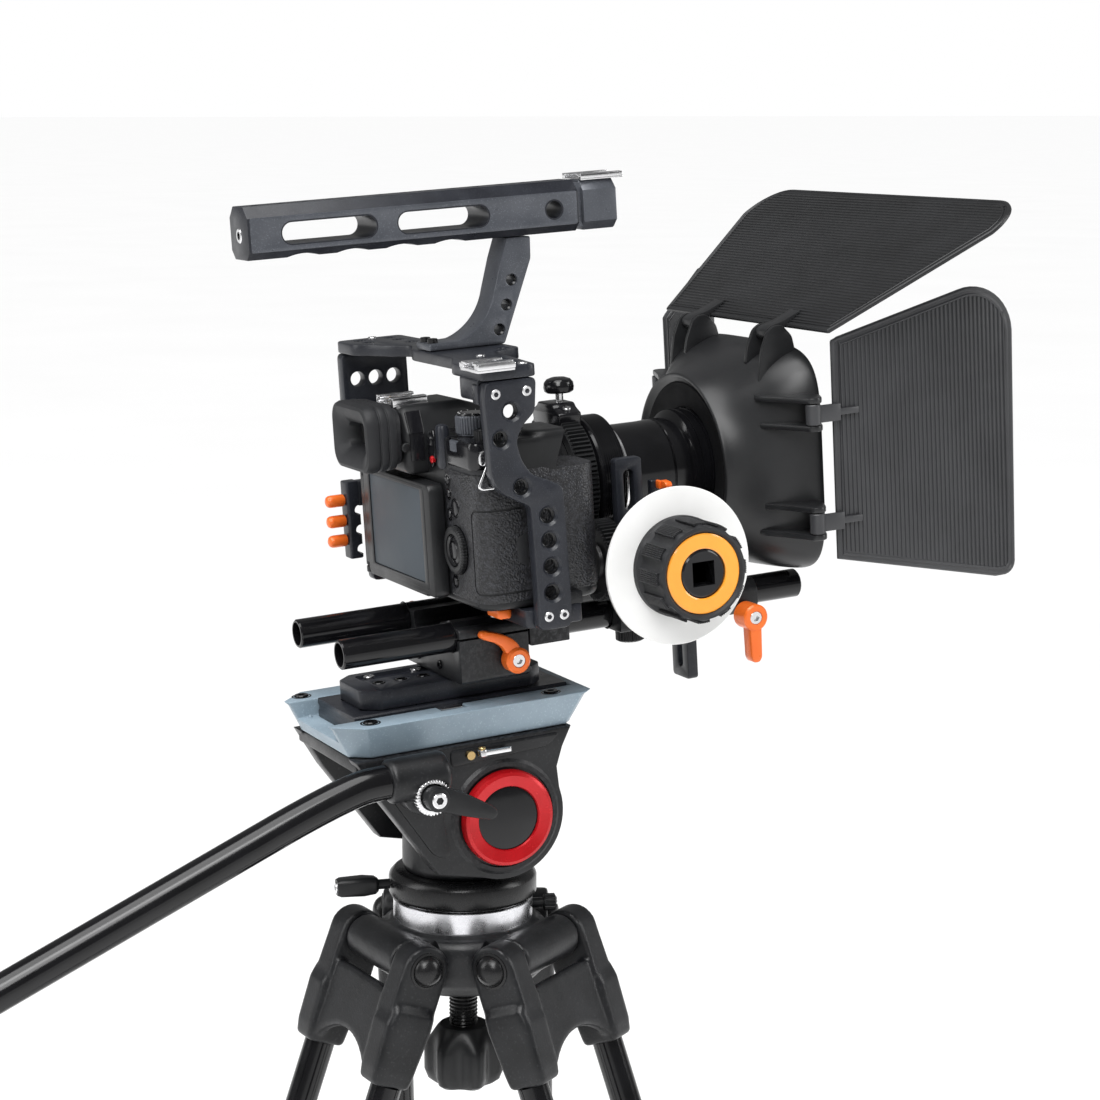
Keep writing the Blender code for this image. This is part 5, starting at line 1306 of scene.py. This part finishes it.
def follow_focus():
    low, high = span("focus_bracket")
    wheel = joint_spot("focus_wheel_turn")
    pinion = joint_spot("focus_pinion_turn")
    body = plate(filleted([(15, low.z), (15, 101.5), (47, 101.5), (47, low.z)], 3), "y", 70, 96,
                 [circle(ROD_X, ROD_Z, BORE_R, 40)], edge=0.9)
    piece("focus_rod_clamp", "rig", CAST, body)
    knob = knurled((ROD_X + 1, 83, low.z + 0.6), "-z", 7.6, 8.5, 24, 0.6, 0.8)
    piece("focus_clamp_knob", "rig", PLASTIC, knob)
    bar = plate(rounded((73, 98), (88, high.z), 2.0, 5), "x", 38.5, 44.5,
                [rounded((77.5, 147), (83.0, 168), 2.7, 6)], edge=0.7)
    piece("focus_bar", "rig", ANODISED, bar, stands_for="focus_bracket")
    case = plate(filleted([(36.5, 110), (36.5, 140), (40, 142), (62, 142), (72, 139.5), (80, 135), (80, 113),
                           (74, 108), (40, 108)], 3), "y", 73, 93, edge=1.3)
    neck = lathe([(0, 12.6), (10.4, 12.6), (12.4, 11.6), (13.0, 10.0), (13.0, -6), (0, -6)], "x",
                 (72.6, wheel.y, wheel.z), 56)
    piece("focus_gearbox", "rig", CAST, case, neck)
    cover = plate(filleted([(39, 112), (39, 138), (43, 140), (60, 140), (68, 136), (68, 112)], 2.5), "y",
                  92.6, 94.2, edge=0.6)
    piece("focus_cover", "rig", ANODISED, cover)
    piece("focus_cover_screws", "rig", STEEL, *(screw((x, 94.0, z), "y", 1.9, 0.9)
                                                for x, z in ((42, 115), (42, 136.5), (65, 115), (64, 134.5))))
    axle = [(0, 12.6), (2.2, 12.6), (2.6, 12.2), (2.6, -1), (0, -1)]
    washer = [(3.2, 5.0), (6.0, 5.0), (6.0, 0.4), (3.2, 0.4)]
    piece("focus_axle", "rig", STEEL, lathe(axle, "-y", (pinion.x, 69.0, pinion.z), 28),
          lathe(washer, "-y", (pinion.x, 73.2, pinion.z), 36))
    pointer = [(47.4, 156.4), (47.4, 161), (52.8, 160.4), (54.0, 158.7), (52.8, 157.0)]
    piece("upper_pointer", "rig", ORANGE, plate(filleted(pointer, 0.8), "y", 96.4, 100.2, edge=0.5),
          box((43.6, 95.0, 156.6), (48.6, 97.4, 160.8), 0.5))
    arm = filleted([(41, 140.5), (41, 161), (45.5, 161), (45.5, 140.5)], 1)
    piece("pointer_arm", "rig", ANODISED, plate(arm, "y", 92.4, 96.0, edge=0.5))

    low, high = span("drive_gear")
    r = 20.8
    y0, width = low.y, high.y - low.y
    gear = [(2.9, width), (9.0, width), (9.6, width - 1.6), (16.2, width - 1.6), (17.0, width), (19.2, width),
            (r, width - 0.6, 1.6), (r, 0.6, 1.6), (19.2, 0), (17.0, 0), (16.2, 1.6), (9.6, 1.6), (9.0, 0),
            (2.9, 0)]
    piece("pinion_gear", "focus_pinion", PLASTIC, lathe(gear, "y", (pinion.x, y0, pinion.z), 208, teeth(52)),
          stands_for="drive_gear")

    at = (0, wheel.y, wheel.z)
    piece("marking_disc", "focus_wheel", WHITE,
          lathe([(25.2, 95.0), (39.1, 95.0), (39.5, 94.6), (39.5, 93.0), (39.1, 92.6), (25.2, 92.6)], "x", at,
                128))
    piece("disc_back", "focus_wheel", PLASTIC,
          lathe([(0, 92.7), (36.5, 92.7), (36.5, 91.6), (25, 89.6), (12.6, 86.6), (0, 86.6)], "x", at, 96))
    grip = [(0, 119.0), (12.4, 119.0), (19.8, 119.4), (20.6, 120.3), (21.4, 121.0), (22.8, 120.6),
            (23.6, 119.4, 0.9), (24.4, 116.5, 2.2), (24.5, 112.0, 2.5), (24.5, 104.0, 2.5), (24.5, 99.8, 1.4),
            (25.4, 98.4), (25.4, 95.0), (0, 95.0)]
    body = lathe(grip, "x", at, 180, lobes(12))
    square = box((111, wheel.y - 6, wheel.z - 6), (140, wheel.y + 6, wheel.z + 6), 0)
    piece("wheel_grip", "focus_wheel", RUBBER, cut(body, square), stands_for="handwheel")
    ribs = []
    for i in range(12):
        for k in range(-3, 4):
            angle = 30.0 * i + 2.3 * k
            ribs.append(moved(box((99.6, wheel.y - 0.42, wheel.z + 23.6),
                                  (118.4, wheel.y + 0.42, wheel.z + 25.1), 0.3, 1),
                              turn(angle, "X", (0, wheel.y, wheel.z))))
    piece("wheel_ribs", "focus_wheel", RUBBER, *ribs)
    piece("amber_ring", "focus_wheel", AMBER,
          lathe([(12.3, 120.0), (12.9, 120.35), (19.2, 120.35), (19.8, 120.0), (19.8, 119.0), (12.3, 119.0)],
                "x", at, 96))
    hub = lathe([(0, 120.2), (10.9, 120.2), (11.7, 119.7), (11.9, 119.0), (11.9, 110), (0, 110)], "x", at, 72)
    piece("wheel_hub", "focus_wheel", SHINY_PLASTIC, cut(hub, square))


# Matte box --------------------------------------------------------------------------------------
MATTE_Z = joint_spot("right_flag_fold").z
RIM_R, FRONT_X, FRONT_Z = 48.8, 70.0, 60.0
RIM_Y, FRONT_Y, WALL = span("matte_shell")[0].y, 180.0, 2.6
THROAT_R = 33.4
FLARE = ((6, 0.07), (12, 0.22), (18, 0.42), (24, 0.62), (30, 0.77), (36, 0.89), (41, 0.96), (45.4, 1.0))
HINGE_Z = (190.2, 134.2)


def section(y, mix, shrink=0.0, count=96):
    """The shell's outline: mix 0 is the round rim, 1 the square front."""
    centre = LENS_Z + (MATTE_Z - LENS_Z) * mix
    ring = []
    for i in range(count):
        angle = 2 * math.pi * i / count
        c, s = math.cos(angle), math.sin(angle)
        square = (abs(c) ** 5 + abs(s) ** 5) ** -0.2
        reach_x = RIM_R * (1 - mix) + FRONT_X * square * mix - shrink
        reach_z = RIM_R * (1 - mix) + FRONT_Z * square * mix - shrink
        ring.append((reach_x * c, y, centre + reach_z * s))
    return ring


def shell_body():
    """A round rim with a deep funnel behind it, flaring to the square front."""
    funnel = [section(RIM_Y + y, 0.0, RIM_R - r) for r, y in ((THROAT_R, 9.6), (THROAT_R, 8.2), (34.6, 7.4),
                                                              (43.8, 3.0), (46.0, 1.0), (46.9, 0.2),
                                                              (47.7, 0.0))]
    outer = [section(RIM_Y + 0.5, 0.0, 0.2), section(RIM_Y + 1.4, 0.0)]
    outer += [section(RIM_Y + y, mix) for y, mix in FLARE]
    lip = [section(FRONT_Y - 0.2, 1.0, 0.5), section(FRONT_Y, 1.0, 1.1), section(FRONT_Y - 0.2, 1.0, 2.2)]
    inner = [section(RIM_Y + y, mix, WALL) for y, mix in FLARE[:0:-1]] + [section(RIM_Y + 9.6, 0.12, WALL)]
    rings = funnel + outer + lip + inner
    return loft(rings + rings[:1], caps=False)


def shell_fins():
    """The pairs of gussets that hold the flags' hinge barrels."""
    inside = loft([section(RIM_Y + y, mix, WALL - 0.6) for y, mix in FLARE]
                  + [section(FRONT_Y + 20, 1.0, WALL - 0.6)])
    crest = [(158.2, 221), (162, 230), (166, 232.9), (171, 232.9), (176.5, 227)]
    outer_fin = filleted([(155.5, 203)] + crest + [(178.5, 217.5), (165, 211)], 2.0)
    inner_fin = filleted([(156.5, 212.5)] + crest + [(178.5, 219.3), (165, 216)], 2.0)
    fins = [plate(fin, "x", x, x + 2.5, edge=0.6) for fin, x in ((inner_fin, 31.5), (outer_fin, 46.5))]
    leaf = filleted([(50, 151), (56, 152), (66, 157), (78, 161.5), (85.5, 164), (86.8, 168.5), (84, 172),
                     (74, 176.5), (50, 178)], 2.0)
    fins += [cut(plate(leaf, "z", z + low, z + low + 3.0, edge=0.6), inside) for z in HINGE_Z
             for low in (-8.6, 5.6)]
    return fins + [moved(fin, MIRROR_X) for fin in fins]


def matte_box():
    piece("matte_box_shell", "matte_box", SHELL_PLASTIC,
          modified(shell_body(), "SUBSURF", levels=1, render_levels=1), *shell_fins(),
          stands_for="matte_shell")
    # The donut's darker rubber is partly painted shade for the recess at the back of the shell.
    piece("matte_donut", "matte_box", SHADED_FOAM_RUBBER,
          lathe([(30.0, 5.6), (30.4, 4.6), (33.0, 4.2), (38.0, 4.0), (43.0, 2.6), (43.9, 3.3), (39.0, 6.4),
                 (34, 8.6), (30.4, 8.0)], "y", (0, RIM_Y - 0.6, LENS_Z), 96))
    frame = plate([(x, z) for x, _, z in section(0, 0.80, 3.2)], "y", 165, 168.5,
                  [rounded((-50.5, MATTE_Z - 40.0), (50.5, MATTE_Z + 40.0), 4)], edge=0.5)
    piece("filter_frame", "matte_box", PLASTIC, frame)
    piece("filter_rails", "matte_box", GLOSS_BLACK, box((-52, 168.4, MATTE_Z - 42.4),
                                                        (52, 169.6, MATTE_Z - 41.2), 0.3),
          box((-52, 168.4, MATTE_Z + 41.2), (52, 169.6, MATTE_Z + 42.4), 0.3))
    top, side = joint_spot("top_flag_fold"), joint_spot("right_flag_fold")
    pins = [rod((x - 7, top.y, top.z), "x", 1.8, 14, 24) for x in (-40.25, 40.25)]
    pins += [rod((sign * side.x, side.y, z - 7), "z", 1.8, 14, 24)
             for sign in (-1, 1) for z in HINGE_Z]
    piece("flag_pins", "matte_box", GLOSS_BLACK, *pins)

    low, high = span("matte_mount")
    outline = [(-45, 88), (-45, 97), (-41, 101.5), (41, 101.5), (45, 97), (45, 88), (40, 83), (-40, 83)]
    clamp = plate(filleted(outline, 2), "y", 130.0, high.y, rod_bores(), edge=0.9)
    relief = plate(filleted([(-16, 90), (-16, 110), (16, 110), (16, 90)], 3), "y", 139, high.y + 5, edge=0.1)
    piece("matte_rod_clamp", "matte_box", CAST, cut(clamp, relief), stands_for="matte_mount")
    bar = plate(rounded((-9, low.z), (9, high.z), 2.2, 5), "y", low.y, 133.6,
                [rounded((-2.6, 50), (2.6, 78), 2.5, 6)], edge=0.7)
    piece("matte_bar", "matte_box", ANODISED, bar)
    piece("matte_bar_screws", "matte_box", STEEL, *(screw((0, low.y + 0.2, z), "-y", 3.0, 1.5)
                                                    for z in (90, 116)))
    low, high = span("matte_lever")
    pin = joint_spot("matte_clamp_turn")
    hub = lathe([(3.6, 12.6), (6.2, 12.6), (7.0, 11.8), (7.0, 1.0), (6.2, 0.2), (3.6, 0.2)], "x",
                (low.x, pin.y, pin.z), 48)
    tail = plate(filleted([(139.3, pin.z + 1), (139.8, low.z + 2.5), (141.4, low.z), (144.6, low.z),
                           (146.2, low.z + 2.5), (146.7, pin.z + 1)], 1.8), "x", 49.0, 57.5, edge=1.2)
    bore = rod((40, pin.y, pin.z), "x", 3.6, 30, 40)
    piece("matte_clamp_blade", "matte_clamp", ORANGE, hub, cut(tail, bore), stands_for="matte_lever")
    piece("matte_clamp_screw", "matte_clamp", STEEL, screw((high.x - 2.6, pin.y, pin.z), "x", 3.7, 2.0))


def inset(outline, distance):
    """An outline moved inwards, for a convex outline that runs anticlockwise."""
    out = []
    for i, corner in enumerate(outline):
        before, after = Vector(outline[i - 1]), Vector(outline[(i + 1) % len(outline)])
        along = (after - before).normalized()
        out.append((corner[0] - along.y * distance, corner[1] + along.x * distance))
    return out


def ribbed_leaf(outline, low, high, spacing, across):
    """A flag's leaf in its x-y plane: a thin sheet with fine ribs on both faces inside a double rim."""
    shapes = [plate(outline, "z", low + 0.5, high - 0.5, edge=0.2)]
    for distance, radius in ((1.25, 1.25), (4.1, 0.75)):
        middle = (low + high) * 0.5
        for z in ((middle,) if distance < 2 else (low + 0.55, high - 0.55)):
            line = [(x, y, z) for x, y in inset(outline, distance)]
            shapes.append(pipe(line, radius, True, 3))
    axis = 0 if across == "x" else 1
    start, end = min(p[axis] for p in outline), max(p[axis] for p in outline)
    count = int((end - start - 10) / spacing)
    for i in range(count + 1):
        place = start + 5.6 + i * spacing
        crossings = [a[1 - axis] + (b[1 - axis] - a[1 - axis]) * (place - a[axis]) / (b[axis] - a[axis])
                     for a, b in zip(outline, outline[1:] + outline[:1])
                     if (a[axis] - place) * (b[axis] - place) <= 0 and a[axis] != b[axis]]
        near, far = min(crossings) + 5.0, max(crossings) - 5.0
        for z in (low + 0.45, high - 0.45):
            ends = [(place, near, z), (place, far, z)] if axis == 0 else [(near, place, z), (far, place, z)]
            shapes.append(pipe(ends, 0.62, resolution=1))
    return shapes


def top_flag():
    pivot = joint_spot("top_flag_fold")
    place = CRADLE @ Matrix.Translation(pivot * MM) @ Matrix.Rotation(math.radians(31.5), 4, "X")
    half = [(86, 9.3)] + arc((103, 99), 22.4, -8, 90, 10)
    outline = half + [(-x, y) for x, y in half[::-1]]
    profile = filleted([(-3.0, -2.6), (-3.4, 0.6), (-1.6, 3.2), (2.0, 3.2), (9, 1.0), (20.6, -0.6),
                        (21.0, -1.8), (9, -2.6), (0, -3.4)], 1.2)
    arms = [plate(profile, "x", x - 5.2, x + 5.2, edge=0.5) for x in (-40.25, 40.25)]
    # The top flag takes the darker copy of the flag plastic: painted shade.
    piece("top_flag_leaf", "top_flag", SHADED_FLAG, *ribbed_leaf(outline, -4.0, -1.5, 2.3, "y"), *arms,
          place=place, stands_for="flag_top")


def side_flags():
    for side, sign, swing in (("right", 1, 0.0), ("left", -1, 47.0)):
        pivot = joint_spot(side + "_flag_fold")
        place = CRADLE @ Matrix.Translation(pivot * MM) @ Matrix.Rotation(math.radians(swing), 4, "Z")
        outline = [(11.8, 114), (108, 91.6)] + arc((113.4, 98.8), 7.2, -82, -4, 5) \
            + arc((96.8, 220.4), 25.6, 2, 105, 12) + [(16, 228), (12.4, 226)]
        outline = [(y, z - pivot.z) for y, z in outline]
        upright = Matrix(((0, 0, 1, 0), (1, 0, 0, 0), (0, 1, 0, 0), (0, 0, 0, 1)))
        shapes = [moved(shape, upright) for shape in ribbed_leaf(outline, -2.0, 0.5, 2.55, "x")]
        for z in HINGE_Z:
            middle = z - pivot.z
            shapes.append(lathe([(0, 10.4), (3.5, 10.4), (3.9, 10.0), (3.9, 0.4), (3.5, 0), (0, 0)], "z",
                                (0.6, 0, middle - 5.2), 32))
            shapes.append(box((0.2, 2, middle - 4.4), (2.9, 15, middle + 4.4), 0.5))
            shapes.append(box((0.2, 2, middle - 1.7), (2.5, 26, middle + 1.7), 0.5))
        if sign < 0:
            shapes = [moved(shape, MIRROR_X) for shape in shapes]
        piece(side + "_flag_leaf", side + "_flag", FLAG_PLASTIC, *shapes, place=place,
              stands_for="flag_" + side)


# Build ------------------------------------------------------------------------------------------
shoulder()
for leg_name in "abc":
    leg(leg_name)
head()
cradle()
tray()
handle()
rods()
slide_and_riser()
rod_clamp()
cage()
handle_arm()
top_handle()
small_clamps()
camera_case()
eyecup()
flip_screen()
dials()
buttons()
lens()
follow_focus()
matte_box()
top_flag()
side_flags()


# Floor, lights and camera -----------------------------------------------------------------------
def floor():
    mesh = bpy.data.meshes.new("floor")
    reach = 400.0
    mesh.from_pydata([(-reach, -reach, 0), (reach, -reach, 0), (reach, reach, 0), (-reach, reach, 0)], [],
                     [(0, 1, 2, 3)])
    g = Graph("pale_floor")
    tone = g.remap(g.noise(900.0), 0.3, 0.7)
    mesh.materials.append(g.finish(g.mix(tone, (0.93, 0.93, 0.93), (0.95, 0.95, 0.95)), 0.85))
    ground = bpy.data.objects.new("floor", mesh)
    bpy.context.scene.collection.objects.link(ground)


def light(name, at, target, size, power):
    data = bpy.data.lights.new(name, "AREA")
    data.shape = "RECTANGLE"
    data.size, data.size_y = size
    data.energy = power
    lamp = bpy.data.objects.new(name, data)
    lamp.location = at
    lamp.rotation_euler = (Vector(target) - Vector(at)).to_track_quat("-Z", "Y").to_euler()
    bpy.context.scene.collection.objects.link(lamp)


def studio():
    """A white surround that lights softly, an even overhead light and three soft panels."""
    world = bpy.data.worlds.new("studio")
    world.use_nodes = True
    nodes, links = world.node_tree.nodes, world.node_tree.links
    seen, lit = nodes["Background"], nodes.new("ShaderNodeBackground")
    seen.inputs["Color"].default_value = lit.inputs["Color"].default_value = (1.0, 1.0, 1.0, 1.0)
    seen.inputs["Strength"].default_value, lit.inputs["Strength"].default_value = 1.0, 0.22
    path, either = nodes.new("ShaderNodeLightPath"), nodes.new("ShaderNodeMixShader")
    links.new(path.outputs["Is Camera Ray"], either.inputs["Fac"])
    links.new(lit.outputs["Background"], either.inputs[1])
    links.new(seen.outputs["Background"], either.inputs[2])
    links.new(either.outputs["Shader"], nodes["World Output"].inputs["Surface"])
    bpy.context.scene.world = world
    overhead = bpy.data.lights.new("overhead", "SUN")
    overhead.energy, overhead.angle = 2.9, math.radians(50)
    lamp = bpy.data.objects.new("overhead", overhead)
    lamp.rotation_euler = (math.radians(14), math.radians(12), 0)
    bpy.context.scene.collection.objects.link(lamp)
    middle = joint_point("tilt") + Vector((0.03, 0.05, 0.12))
    light("key", middle + Vector((1.5, -0.9, 1.5)), middle, (0.9, 1.3), 30)
    light("fill", middle + Vector((-0.5, -1.8, 0.8)), middle, (0.8, 1.4), 14)
    light("rim", middle + Vector((0.9, 1.9, 0.8)), middle, (0.8, 1.4), 18)
    bpy.context.scene.view_settings.view_transform = "Standard"


def camera():
    data = bpy.data.cameras.new("camera")
    data.sensor_width, data.lens = 36.0, 88.0
    data.clip_end = 2000.0
    view = bpy.data.objects.new("camera", data)
    view.location = joint_point("tilt") + Vector((1.2465, -0.548, 0.3527))
    view.rotation_euler = (math.radians(90 - 9.3), 0.0, math.radians(64.5))
    bpy.context.scene.collection.objects.link(view)
    bpy.context.scene.camera = view


floor()
studio()
camera()
bpy.context.view_layer.update()
